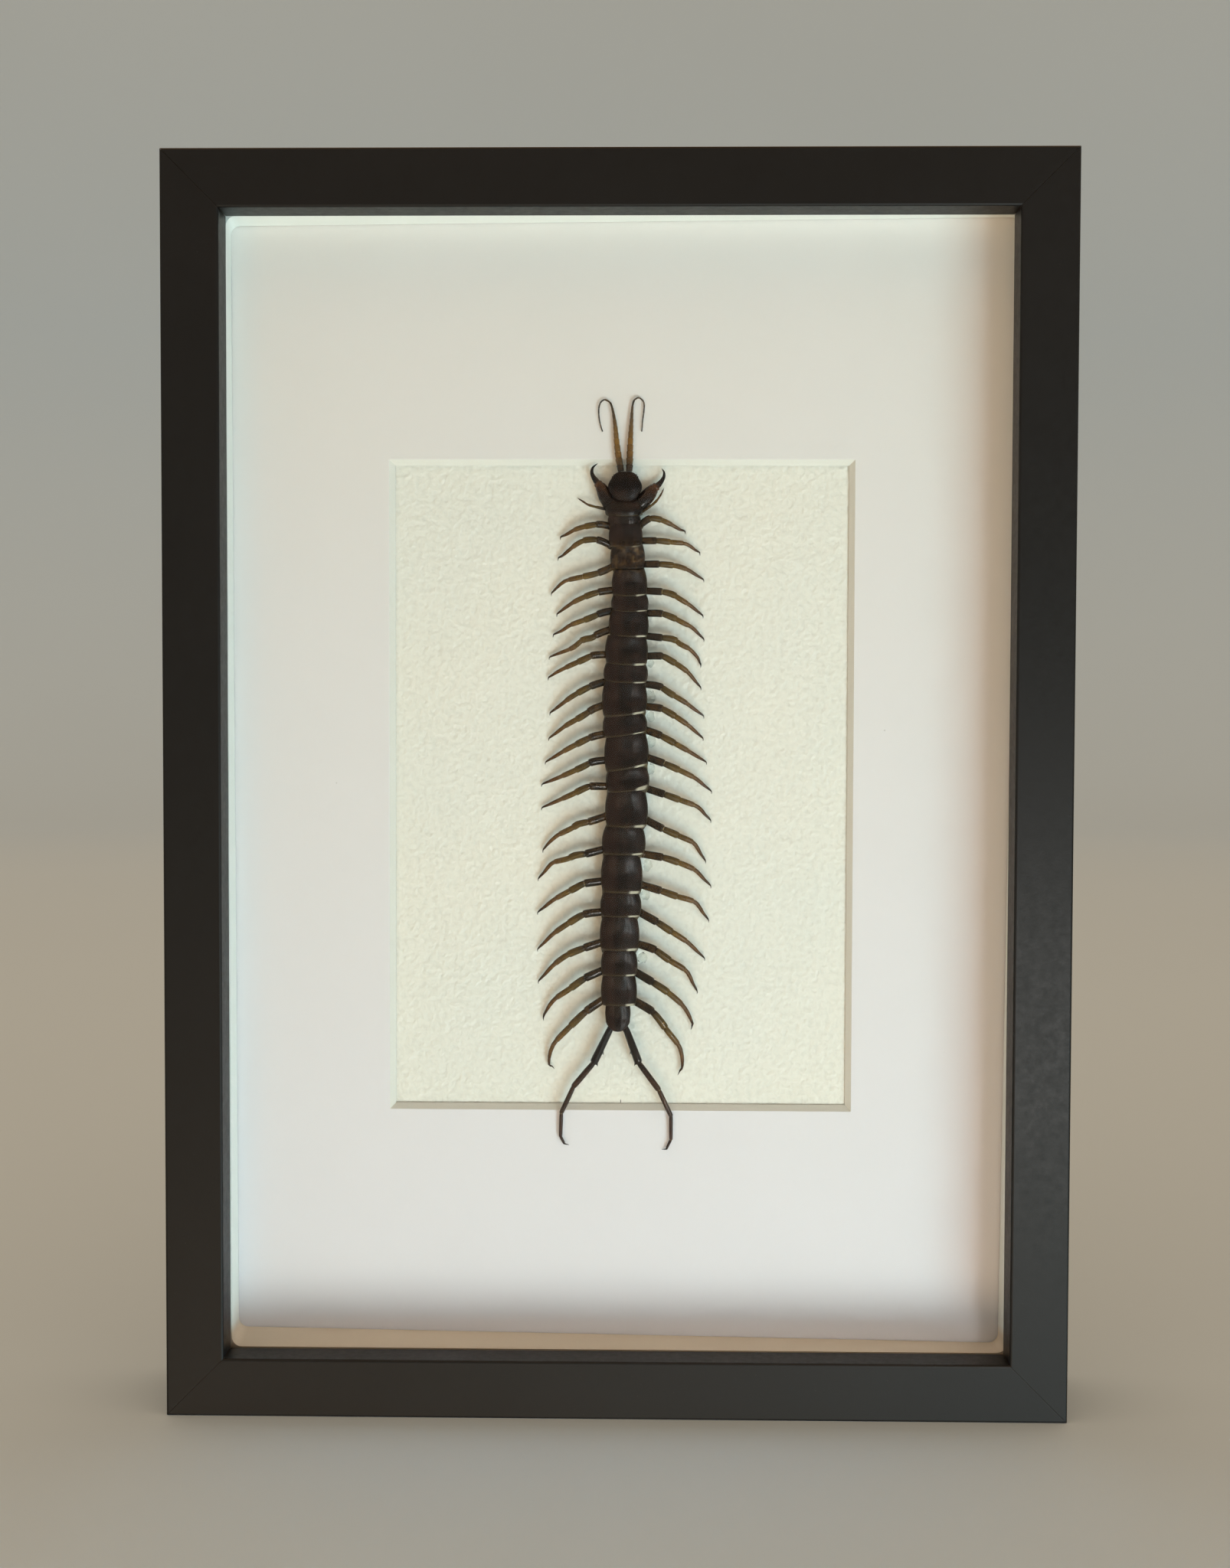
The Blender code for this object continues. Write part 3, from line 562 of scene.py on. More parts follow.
def blend_colours(tree, factor, first, second, mode="MIX"):
    """The first colour turning into the second as the factor grows to 1."""
    node = add_node(tree, "ShaderNodeMix", data_type="RGBA", blend_type=mode)
    for index, value in ((0, factor), (6, first), (7, second)):
        if isinstance(value, bpy.types.NodeSocket):
            tree.links.new(value, node.inputs[index])
        elif index == 0:
            node.inputs[0].default_value = value
        else:
            node.inputs[index].default_value = (*value, 1)
    return node.outputs[2]


def multiply(tree, first, second, clamp=False):
    inputs = {0: first, 1: second}
    return add_node(tree, "ShaderNodeMath", inputs, operation="MULTIPLY", use_clamp=clamp).outputs[0]


def wavering(tree, factor, mottle, reach):
    """A factor whose level lines waver with the mottle by this much."""
    inputs = {0: factor, 1: spread(tree, mottle, -reach, reach)}
    return add_node(tree, "ShaderNodeMath", inputs, operation="ADD").outputs[0]


def bump(tree, height, distance, strength=1.0, normal=None):
    """A normal tilted by the height, on top of another normal where one is given."""
    inputs = {"Height": height, "Distance": distance, "Strength": strength}
    if normal is not None:
        inputs["Normal"] = normal
    return add_node(tree, "ShaderNodeBump", inputs).outputs["Normal"]


def spread(tree, factor, low, high):
    """A factor from 0 to 1 mapped to a range."""
    inputs = {"Value": factor, "To Min": low, "To Max": high}
    return add_node(tree, "ShaderNodeMapRange", inputs).outputs["Result"]


def place_piece(name, shape, materials, nodes, sharp_angle, flat_over=None):
    """Write a finished bmesh into a piece that rides on the frame's body and stands for these nodes.

    Faces larger than flat_over stay flat, so that rounded edges don't bend the light on them.
    """
    mesh = bpy.data.meshes.new(name)
    shape.to_mesh(mesh)
    shape.free()
    for material in materials:
        mesh.materials.append(material)
    mesh.shade_smooth()
    mesh.set_sharp_from_angle(angle=math.radians(sharp_angle))
    if flat_over is not None:
        for polygon in mesh.polygons:
            polygon.use_smooth = polygon.area < flat_over
    piece = bpy.data.objects.new(name, mesh)
    bpy.context.scene.collection.objects.link(piece)
    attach(piece, "root")
    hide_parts(*nodes)
    return piece


def tidy_normals(shape):
    """Merge doubles and turn the faces outwards."""
    bmesh.ops.remove_doubles(shape, verts=shape.verts, dist=0.002 * MM)
    bmesh.ops.recalc_face_normals(shape, faces=shape.faces)


def place_animal(name, shape, material, sharp_angle=60):
    """Merge, turn outwards and place one part of the centipede."""
    tidy_normals(shape)
    place_piece(name, shape, (material,), ("centipede",), sharp_angle)


def bevel(shape, geom, radius, segments=2, affect="EDGES"):
    """Round edges or corners and return the new faces."""
    result = bmesh.ops.bevel(
        shape, geom=geom, offset=radius, segments=segments, profile=0.5, affect=affect, material=-1
    )
    return result["faces"]


def box_shape(low, high, edge_radius):
    """A box between two corners with rounded edges."""
    shape = bmesh.new()
    matrix = Matrix.Translation((low + high) / 2) @ Matrix.Diagonal((*(high - low), 1))
    bmesh.ops.create_cube(shape, size=1, matrix=matrix)
    bevel(shape, shape.edges[:], edge_radius)
    return shape


def outline_shape(points):
    """A new bmesh with one face through these corners."""
    shape = bmesh.new()
    shape.faces.new([shape.verts.new(point) for point in points])
    return shape


def new_verts(result):
    return [item for item in result["geom"] if isinstance(item, bmesh.types.BMVert)]


def push_out(shape, way):
    """Extrude all faces by a vector and keep them as the solid's other end."""
    extruded = bmesh.ops.extrude_face_region(shape, geom=shape.faces[:], use_keep_orig=True)
    bmesh.ops.translate(shape, verts=new_verts(extruded), vec=way)


def sharp_edges(shape):
    """The edges where two faces meet at more than 60 degrees."""
    shared = [edge for edge in shape.edges if len(edge.link_faces) == 2]
    return [edge for edge in shared if edge.calc_face_angle(0) > math.radians(60)]


def along(table, share):
    """The value at this share of the way, straight between a table's (share, value) rows."""
    for (start, low), (end, high) in zip(table, table[1:]):
        if share <= end:
            return low + (high - low) * (share - start) / (end - start)
    return table[-1][1]


def specimen_point(pixel, height):
    """The place that a pixel of the photograph shows at this height over the backing paper."""
    across, down = Vector(pixel) - IMAGE_CENTRE_PX
    ray = Vector((across, -down, -FOCAL_PX))
    ray.rotate(CAMERA_TURN)
    return CAMERA_PLACE + ray * ((PAPER_Y - height - CAMERA_PLACE.y) / ray.y)


def smooth_points(points, steps=10):
    """A denser line on a smooth curve through the points."""
    ends = [points[0] * 2 - points[1], *points, points[-1] * 2 - points[-2]]
    line = []
    for p0, p1, p2, p3 in zip(ends, ends[1:], ends[2:], ends[3:]):
        slope = p2 - p0
        bend = p0 * 2 - p1 * 5 + p2 * 4 - p3
        twist = p1 * 3 - p0 - p2 * 3 + p3
        for step in range(steps):
            t = step / steps
            line.append((p1 * 2 + slope * t + bend * t**2 + twist * t**3) / 2)
    line.append(points[-1])
    return line


def shares_of(points):
    """Each point's share of the line's length."""
    travelled = [0.0]
    for before, after in zip(points, points[1:]):
        travelled.append(travelled[-1] + (after - before).length)
    return [distance / travelled[-1] for distance in travelled]


def point_at(line, shares, share):
    """The point at this share of a line's length."""
    for index in range(len(line) - 1):
        if share <= shares[index + 1]:
            part = (share - shares[index]) / (shares[index + 1] - shares[index])
            return line[index].lerp(line[index + 1], part)
    return line[-1].copy()


def limb_line(pixels, heights):
    """A limb's smooth centre line and the shares of its points."""
    flat = [Vector((*pixel, 0)) for pixel in pixels]
    line = smooth_points(flat)
    shares = shares_of(line)
    places = [specimen_point(point.xy, along(heights, share) * MM) for point, share in zip(line, shares)]
    return places, shares


def section_matrix(place, direction, width, thickness):
    """The place and size of a ring square to a limb."""
    direction = direction.normalized()
    side = direction.cross(TO_VIEWER).normalized()
    up = side.cross(direction)
    matrix = Matrix((side * width, up * thickness, direction * width)).transposed().to_4x4()
    matrix.translation = place
    return matrix


def station_at(line, shares, share, width, flatness, reach=0.01):
    """The place and size of a ring square to a limb, at this share of its line."""
    ahead = point_at(line, shares, min(1.0, share + reach))
    behind = point_at(line, shares, max(0.0, share - reach))
    return section_matrix(point_at(line, shares, share), ahead - behind, width, width * flatness)


def add_layers(shape, names):
    return [shape.verts.layers.float.new(name) for name in names]


def fill_layers(verts, layers, values):
    for vert in verts:
        for layer, value in zip(layers, values):
            vert[layer] = value


def ring_edges(ring):
    """The edges between a ring's vertices, each once."""
    return list(dict.fromkeys(edge for vert in ring for edge in vert.link_edges))


def extend_ring(shape, edges, matrix=None):
    """Extrude a ring of edges, move it by the matrix and return its vertices and edges."""
    result = bmesh.ops.extrude_edge_only(shape, edges=edges)
    ring = new_verts(result)
    if matrix is not None:
        bmesh.ops.transform(shape, matrix=matrix, verts=ring)
    members = set(ring)
    new_edges = [item for item in result["geom"] if isinstance(item, bmesh.types.BMEdge)]
    return ring, [edge for edge in new_edges if members.issuperset(edge.verts)]


def loft(shape, stations, sides, layers, values):
    """A closed tube through rings: each station is a matrix, and each value row fills the layers."""
    first = bmesh.ops.create_circle(shape, cap_ends=True, segments=sides, radius=1, matrix=stations[0])
    ring = first["verts"]
    fill_layers(ring, layers, values[0])
    edges = ring_edges(ring)
    for before, station, row in zip(stations, stations[1:], values[1:]):
        ring, edges = extend_ring(shape, edges, station @ before.inverted())
        fill_layers(ring, layers, row)
    bmesh.ops.contextual_create(shape, geom=edges)


def append_shape(whole, shape):
    """Add one bmesh to another that has the same layers."""
    mesh = bpy.data.meshes.new("part")
    shape.to_mesh(mesh)
    shape.free()
    whole.from_mesh(mesh)
    bpy.data.meshes.remove(mesh)


def add_articles(shape, line, ends, widths, layers, tone, scale=1.0):
    """A limb as one tube of articles along its line, which end at these shares of its length."""
    stations, values = [], []
    shares = shares_of(line)
    for start, end, (start_width, end_width) in zip((0.0, *ends), ends, widths):
        for part, swell in ARTICLE_PROFILE:
            share = start + (end - start) * part
            width = (start_width + (end_width - start_width) * part) * swell * MM * scale
            stations.append(station_at(line, shares, share, width, LIMB_FLATNESS))
            values.append((share, 1.0 if part == 0.0 and start > 0 else 0.0, tone))
    loft(shape, stations, LIMB_SIDES, layers, values)


class SPECIMEN_OT_rails(bpy.types.Operator):
    """Four mitred rails, foil outside and bare fibreboard in the rebate"""

    bl_idname = "specimen.rails"
    bl_label = "Rails"

    def foil(self, settings):
        material, tree, place = textured_material("black_foil", Specular_IOR_Level=0.34)
        clouds = grain(tree, place, 26 * MM, 3)
        fine = grain(tree, place, 0.35 * MM, 2)
        pebbles = grain(tree, place, 1.1 * MM, 3, 0.6)
        colour = settings.foil_colour
        base = blend_colours(tree, spread(tree, clouds, -0.35, 1.1), colour, scaled(colour, 1.9))
        # Fine pale dust, denser in some places
        dust = specks(tree, place, 2.4 * MM, 0.035, 0.05)
        dust = blend_colours(tree, spread(tree, clouds, -1.2, 1.6), (0, 0, 0), dust)
        base = blend_colours(tree, multiply(tree, dust, 0.12, True), base, (0.3, 0.3, 0.3))
        rough = spread(tree, pebbles, settings.foil_roughness - 0.1, settings.foil_roughness + 0.12)
        normal = bump(tree, fine, 0.02 * MM, 0.5)
        normal = bump(tree, pebbles, 0.05 * MM, 0.35, normal)
        join_shader(material, Base_Color=base, Roughness=rough, Normal=normal)
        return material

    def fibreboard(self, settings):
        material, tree, place = textured_material("fibreboard", Roughness=0.9)
        fibres = grain(tree, stretched(tree, place, (3, 1, 3)), 0.5 * MM, 4, 0.7)
        patches = grain(tree, place, 9 * MM, 2)
        colour = settings.fibreboard_colour
        dark = scaled(colour, 0.62)
        base = blend_colours(tree, fibres, dark, colour)
        base = blend_colours(tree, spread(tree, patches, 0.0, 0.4), base, dark)
        join_shader(material, Base_Color=base, Normal=bump(tree, fibres, 0.12 * MM, 0.7))
        return material

    def rail(self, name, length, place, turn, materials, settings):
        """A rail along X with its outer side down, mitred and then turned to its place."""
        inset_rebate = FACE_WIDTH - REBATE_WIDTH
        depth = FRAME_HIGH.y - FRAME_LOW.y
        section = (
            (0, 0),
            (FACE_WIDTH, 0),
            (FACE_WIDTH, LIP_DEPTH),
            (inset_rebate, LIP_DEPTH),
            (inset_rebate, depth),
            (0, depth),
        )
        shape = outline_shape((-length / 2, FRONT_Y + back, inset) for inset, back in section)
        push_out(shape, (length, 0, 0))
        for vert in shape.verts:
            vert.co.x -= math.copysign(vert.co.z + MITRE_GAP / 2, vert.co.x)
        bmesh.ops.recalc_face_normals(shape, faces=shape.faces)
        for face in shape.faces:
            middle = face.calc_center_median()
            in_rebate = abs(middle.z - inset_rebate) < TOUCH
            behind_lip = abs(middle.y - FRONT_Y - LIP_DEPTH) < TOUCH
            mitred = abs(face.normal.x) > 0.5
            face.material_index = int(in_rebate or behind_lip or mitred)
        arrises = []
        for edge in shape.edges:
            first, second = (vert.co for vert in edge.verts)
            lengthwise = abs(first.x - second.x) > length / 2
            back = (first.y + second.y) / 2
            outside = min(abs(back - FRONT_Y), abs(back - FRAME_HIGH.y)) < TOUCH
            if lengthwise and outside:
                arrises.append(edge)
        for face in bevel(shape, arrises, settings.arris_radius, 5):
            # The foil wraps half way round the rebate's rear arris
            if abs(face.normal.y) > 0.6:
                face.material_index = 0
        turned = Matrix.Translation(place) @ Matrix.Rotation(turn, 4, "Y")
        bmesh.ops.transform(shape, matrix=turned, verts=shape.verts)
        tidy_normals(shape)
        place_piece(f"foil_{name}", shape, materials, (name,), 35, 500 * MM**2)

    def execute(self, context):
        settings = context.scene.specimen_frame
        materials = (self.foil(settings), self.fibreboard(settings))
        width = FRAME_HIGH.x - FRAME_LOW.x
        height = FRAME_HIGH.z - FRAME_LOW.z
        rails = (
            ("rail_bottom", width, (0, 0, FRAME_LOW.z), 0),
            ("rail_top", width, (0, 0, FRAME_HIGH.z), math.pi),
            ("rail_left", height, (FRAME_LOW.x, 0, MIDDLE_Z), math.pi / 2),
            ("rail_right", height, (FRAME_HIGH.x, 0, MIDDLE_Z), -math.pi / 2),
        )
        for name, length, place, turn in rails:
            self.rail(name, length, place, turn, materials, settings)
        return {"FINISHED"}


class SPECIMEN_OT_pane(bpy.types.Operator):
    """The clear front pane with its polished edges"""

    bl_idname = "specimen.pane"
    bl_label = "Pane"

    def execute(self, context):
        material = new_material(
            "clear_pane", Base_Color=(1, 1, 1, 1), Roughness=0.0, IOR=1.15, Transmission_Weight=1.0
        )
        shape = box_shape(*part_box("glazing"), 0.25 * MM)
        pane = place_piece("polished_pane", shape, (material,), ("glazing",), 40, 300 * MM**2)
        pane.visible_shadow = False
        return {"FINISHED"}


class SPECIMEN_OT_spacer(bpy.types.Operator):
    """A card strip bent into a ring between the pane and the mat"""

    bl_idname = "specimen.spacer"
    bl_label = "Spacer"

    def card(self, settings):
        material, tree, place = textured_material("white_card", Roughness=0.7, Specular_IOR_Level=0.1)
        fibres = grain(tree, stretched(tree, place, (3, 1, 3)), 0.4 * MM, 3)
        clouds = grain(tree, place, 18 * MM, 2)
        colour = settings.card_colour
        base = blend_colours(tree, spread(tree, clouds, 0.0, 0.8), colour, scaled(colour, 0.94))
        # Painted warm shade makes the lower wall browner
        painted_wall_shade = scaled(colour, 0.86, 0.72, 0.6)
        base = blend_colours(tree, downwards(tree, place, *SHADED_WALL), base, painted_wall_shade)
        join_shader(material, Base_Color=base, Normal=bump(tree, fibres, 0.03 * MM, 0.5))
        return material

    def execute(self, context):
        low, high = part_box("spacer")
        thickness = high.y - low.y
        shape = outline_shape((x * MM, low.y, z * MM) for x, z in SPACER_FRONT)
        bevel(shape, shape.verts[:], SPACER_CORNER_RADIUS, 6, "VERTICES")
        straight = [edge for edge in shape.edges if edge.calc_length() > 20 * MM]
        bmesh.ops.subdivide_edges(shape, edges=straight, cuts=40)
        bmesh.ops.delete(shape, geom=shape.faces[:], context="FACES_ONLY")
        rim = shape.edges[:]
        slips = [Vector(foot) * MM - Vector(front) * MM for foot, front in zip(SPACER_FOOT, SPACER_FRONT)]
        left, right = SPACER_FRONT[0][0] * MM, SPACER_FRONT[1][0] * MM
        bottom, top = SPACER_FRONT[0][1] * MM, SPACER_FRONT[2][1] * MM
        for _ in range(SPACER_ROWS):
            ring, rim = extend_ring(shape, rim)
            for vert in ring:
                across = (vert.co.x - left) / (right - left)
                up = (vert.co.z - bottom) / (top - bottom)
                lower = slips[0].lerp(slips[1], across)
                upper = slips[3].lerp(slips[2], across)
                slip = lower.lerp(upper, up) / SPACER_ROWS
                vert.co += Vector((slip.x, thickness / SPACER_ROWS, slip.y))
        # The strip isn't quite flat: it waves a little half way down its depth
        for vert in shape.verts:
            part = (vert.co.y - low.y) / thickness
            wave = math.sin(part * math.pi) * SPACER_WAVE
            shift = noise.noise(Vector((vert.co.x, 0, vert.co.z)) / SPACER_WAVE_WIDTH) * wave
            vert.co.x += shift
            vert.co.z += shift
        bmesh.ops.recalc_face_normals(shape, faces=shape.faces)
        bmesh.ops.solidify(shape, geom=shape.faces[:], thickness=-SPACER_WALL)
        tidy_normals(shape)
        # No part of the strip leaves the solid's box
        for vert in shape.verts:
            for axis in range(3):
                vert.co[axis] = min(max(vert.co[axis], low[axis]), high[axis])
        material = self.card(context.scene.specimen_sheets)
        place_piece("card_spacer", shape, (material,), ("spacer",), 50)
        return {"FINISHED"}


class SPECIMEN_OT_mat(bpy.types.Operator):
    """The window mat with its white cut bevel"""

    bl_idname = "specimen.mat"
    bl_label = "Mat"

    def face(self, settings):
        material, tree, place = textured_material("mat_board", Roughness=0.85, Specular_IOR_Level=0.1)
        fine = grain(tree, place, 0.5 * MM, 3, 0.6)
        clouds = grain(tree, place, 45 * MM, 2)
        colour = settings.mat_colour
        base = blend_colours(tree, clouds, colour, scaled(colour, 1.0, 0.985, 0.955))
        # Painted cool light: a lavender tinge towards the bottom
        cool = scaled(colour, 0.985, 0.99, 1.06)
        base = blend_colours(tree, downwards(tree, place, *PAINTED_COOL_LIGHT), base, cool)
        dirt = specks(tree, place, 21 * MM, 0.008, 0.014)
        base = blend_colours(tree, multiply(tree, dirt, 0.4, True), base, (0.25, 0.22, 0.18))
        join_shader(material, Base_Color=base, Normal=bump(tree, fine, 0.03 * MM, 0.5))
        return material

    def core(self, settings):
        material, tree, place = textured_material("mat_core", Roughness=0.8, Specular_IOR_Level=0.1)
        fibres = grain(tree, stretched(tree, place, (1, 3, 1)), 0.25 * MM, 3, 0.6)
        base = blend_colours(tree, fibres, settings.core_colour, scaled(settings.core_colour, 0.93))
        join_shader(material, Base_Color=base, Normal=bump(tree, fibres, 0.04 * MM, 0.6))
        return material

    def rectangle(self, centre, width, height, y):
        """The matrix that lays a unit square's corners on a rectangle in this plane."""
        matrix = Matrix.Translation((centre.x, y, centre.z)) @ Matrix.Rotation(math.pi / 2, 4, "X")
        return matrix @ Matrix.Diagonal((width, height, 1, 1)) @ Matrix.Rotation(math.pi / 4, 4, "Z")

    def execute(self, context):
        settings = context.scene.specimen_sheets
        low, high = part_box("mat")
        thickness = high.y - low.y
        outer_centre = (low + high) / 2
        size = high - low
        narrower, lower = WINDOW_WIDTH - 2 * thickness, WINDOW_HEIGHT - 2 * thickness
        loops = (
            self.rectangle(outer_centre, size.x, size.z, low.y),
            self.rectangle(WINDOW_CENTRE, WINDOW_WIDTH, WINDOW_HEIGHT, low.y),
            self.rectangle(WINDOW_CENTRE, narrower, lower, high.y),
            self.rectangle(outer_centre, size.x, size.z, high.y),
        )
        shape = bmesh.new()
        ring = bmesh.ops.create_circle(shape, segments=4, radius=math.sqrt(0.5), matrix=loops[0])["verts"]
        edges = ring_edges(ring)
        for before, station in zip(loops, loops[1:] + loops[:1]):
            _, edges = extend_ring(shape, edges, station @ before.inverted())
        bmesh.ops.remove_doubles(shape, verts=shape.verts, dist=TOUCH)
        bmesh.ops.recalc_face_normals(shape, faces=shape.faces)
        for face in shape.faces:
            face.material_index = int(abs(face.normal.y) <= 0.9)
        rim = [edge for edge in shape.edges if self.at_window(edge, low, high)]
        for face in bevel(shape, rim, MAT_ARRIS, 3):
            face.material_index = 0
        tidy_normals(shape)
        materials = (self.face(settings), self.core(settings))
        place_piece("bevelled_mat", shape, materials, ("mat",), 40, 100 * MM**2)
        return {"FINISHED"}

    def at_window(self, edge, low, high):
        """Whether an edge lies between the mat's face and its cut bevel."""
        between = {face.material_index for face in edge.link_faces} == {0, 1}
        at_front = all(abs(vert.co.y - low.y) < TOUCH for vert in edge.verts)
        inside = all(low.x + 10 * MM < vert.co.x < high.x - 10 * MM for vert in edge.verts)
        return between and at_front and inside


class SPECIMEN_OT_paper(bpy.types.Operator):
    """Rough watercolour paper, with its bumps in the mesh where the window shows it"""

    bl_idname = "specimen.paper"
    bl_label = "Paper"

    def rough_paper(self, settings):
        material, tree, place = textured_material("rough_paper", Roughness=0.92, Specular_IOR_Level=0.1)
        bumps = grain(tree, place, settings.paper_grain * 0.65, 1.5, 0.5)
        clouds = grain(tree, place, 30 * MM, 3)
        colour = settings.paper_colour
        cool = scaled(colour, 0.955, 0.985, 1.015)
        base = blend_colours(tree, spread(tree, clouds, -0.5, 1.5), colour, cool)
        # Painted shade: the paper is darker in the low parts of its bumps
        painted_pit_shade = ramp(tree, bumps, ((0.3, 0.9), (0.55, 1.0)))
        base = blend_colours(tree, 0.6, base, painted_pit_shade, "MULTIPLY")
        join_shader(material, Base_Color=base, Normal=bump(tree, bumps, 0.33 * MM, 1.0))
        return material

    def execute(self, context):
        settings = context.scene.specimen_sheets
        low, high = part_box("backing_paper")
        relief = settings.paper_relief
        width, height = WINDOW_WIDTH + 2 * MM, WINDOW_HEIGHT + 2 * MM
        half = Vector((width, 0, height)) / 2
        front = Matrix.Translation((WINDOW_CENTRE.x, low.y + relief, WINDOW_CENTRE.z))
        shape = bmesh.new()
        bmesh.ops.create_grid(
            shape,
            x_segments=round(width / PAPER_MESH),
            y_segments=round(height / PAPER_MESH),
            size=0.5,
            matrix=front @ Matrix.Rotation(math.pi / 2, 4, "X") @ Matrix.Diagonal((width, height, 1, 1)),
        )
        # The bumps don't line up with the mesh, and fade out at its border
        turned = Matrix.Rotation(0.5, 3, "Y") @ Matrix.Rotation(0.4, 3, "X")
        for vert in shape.verts:
            place = turned @ vert.co
            broad = noise.noise(place / settings.paper_grain)
            small = noise.noise(place / settings.paper_grain * 1.9 + Vector((5, 9, 2)))
            offset = vert.co - WINDOW_CENTRE
            edge = min(half.x - abs(offset.x), half.z - abs(offset.z))
            fade = min(1.0, edge / PAPER_FADE)
            vert.co.y -= relief * fade * max(-1.0, min(1.0, broad * 2.4 + small * 3.0))
        # The plain margin behind the mat, then the sheet's edge and back
        margin, rim = extend_ring(shape, [edge for edge in shape.edges if edge.is_boundary])
        for vert in margin:
            offset = vert.co - WINDOW_CENTRE
            if abs(abs(offset.x) - half.x) < TOUCH:
                vert.co.x = high.x if offset.x > 0 else low.x
            if abs(abs(offset.z) - half.z) < TOUCH:
                vert.co.z = high.z if offset.z > 0 else low.z
        back, rim = extend_ring(shape, rim)
        for vert in back:
            vert.co.y = high.y
        bmesh.ops.contextual_create(shape, geom=rim)
        bmesh.ops.recalc_face_normals(shape, faces=shape.faces)
        # A dark fibre lies on the paper, between the terminal legs
        spot = specimen_point(FIBRE, 0)
        spot.y = low.y + 0.07 * MM
        matrix = Matrix.Translation(spot) @ Matrix.Diagonal((*FIBRE_SIZE, 1))
        fibre = bmesh.ops.create_icosphere(shape, subdivisions=2, radius=1, matrix=matrix)
        for face in {face for vert in fibre["verts"] for face in vert.link_faces}:
            face.material_index = 1
        dark = new_material("fibre", Base_Color=FIBRE_COLOUR, Roughness=0.8)
        materials = (self.rough_paper(settings), dark)
        place_piece("watercolour_paper", shape, materials, ("backing_paper",), 50)
        return {"FINISHED"}


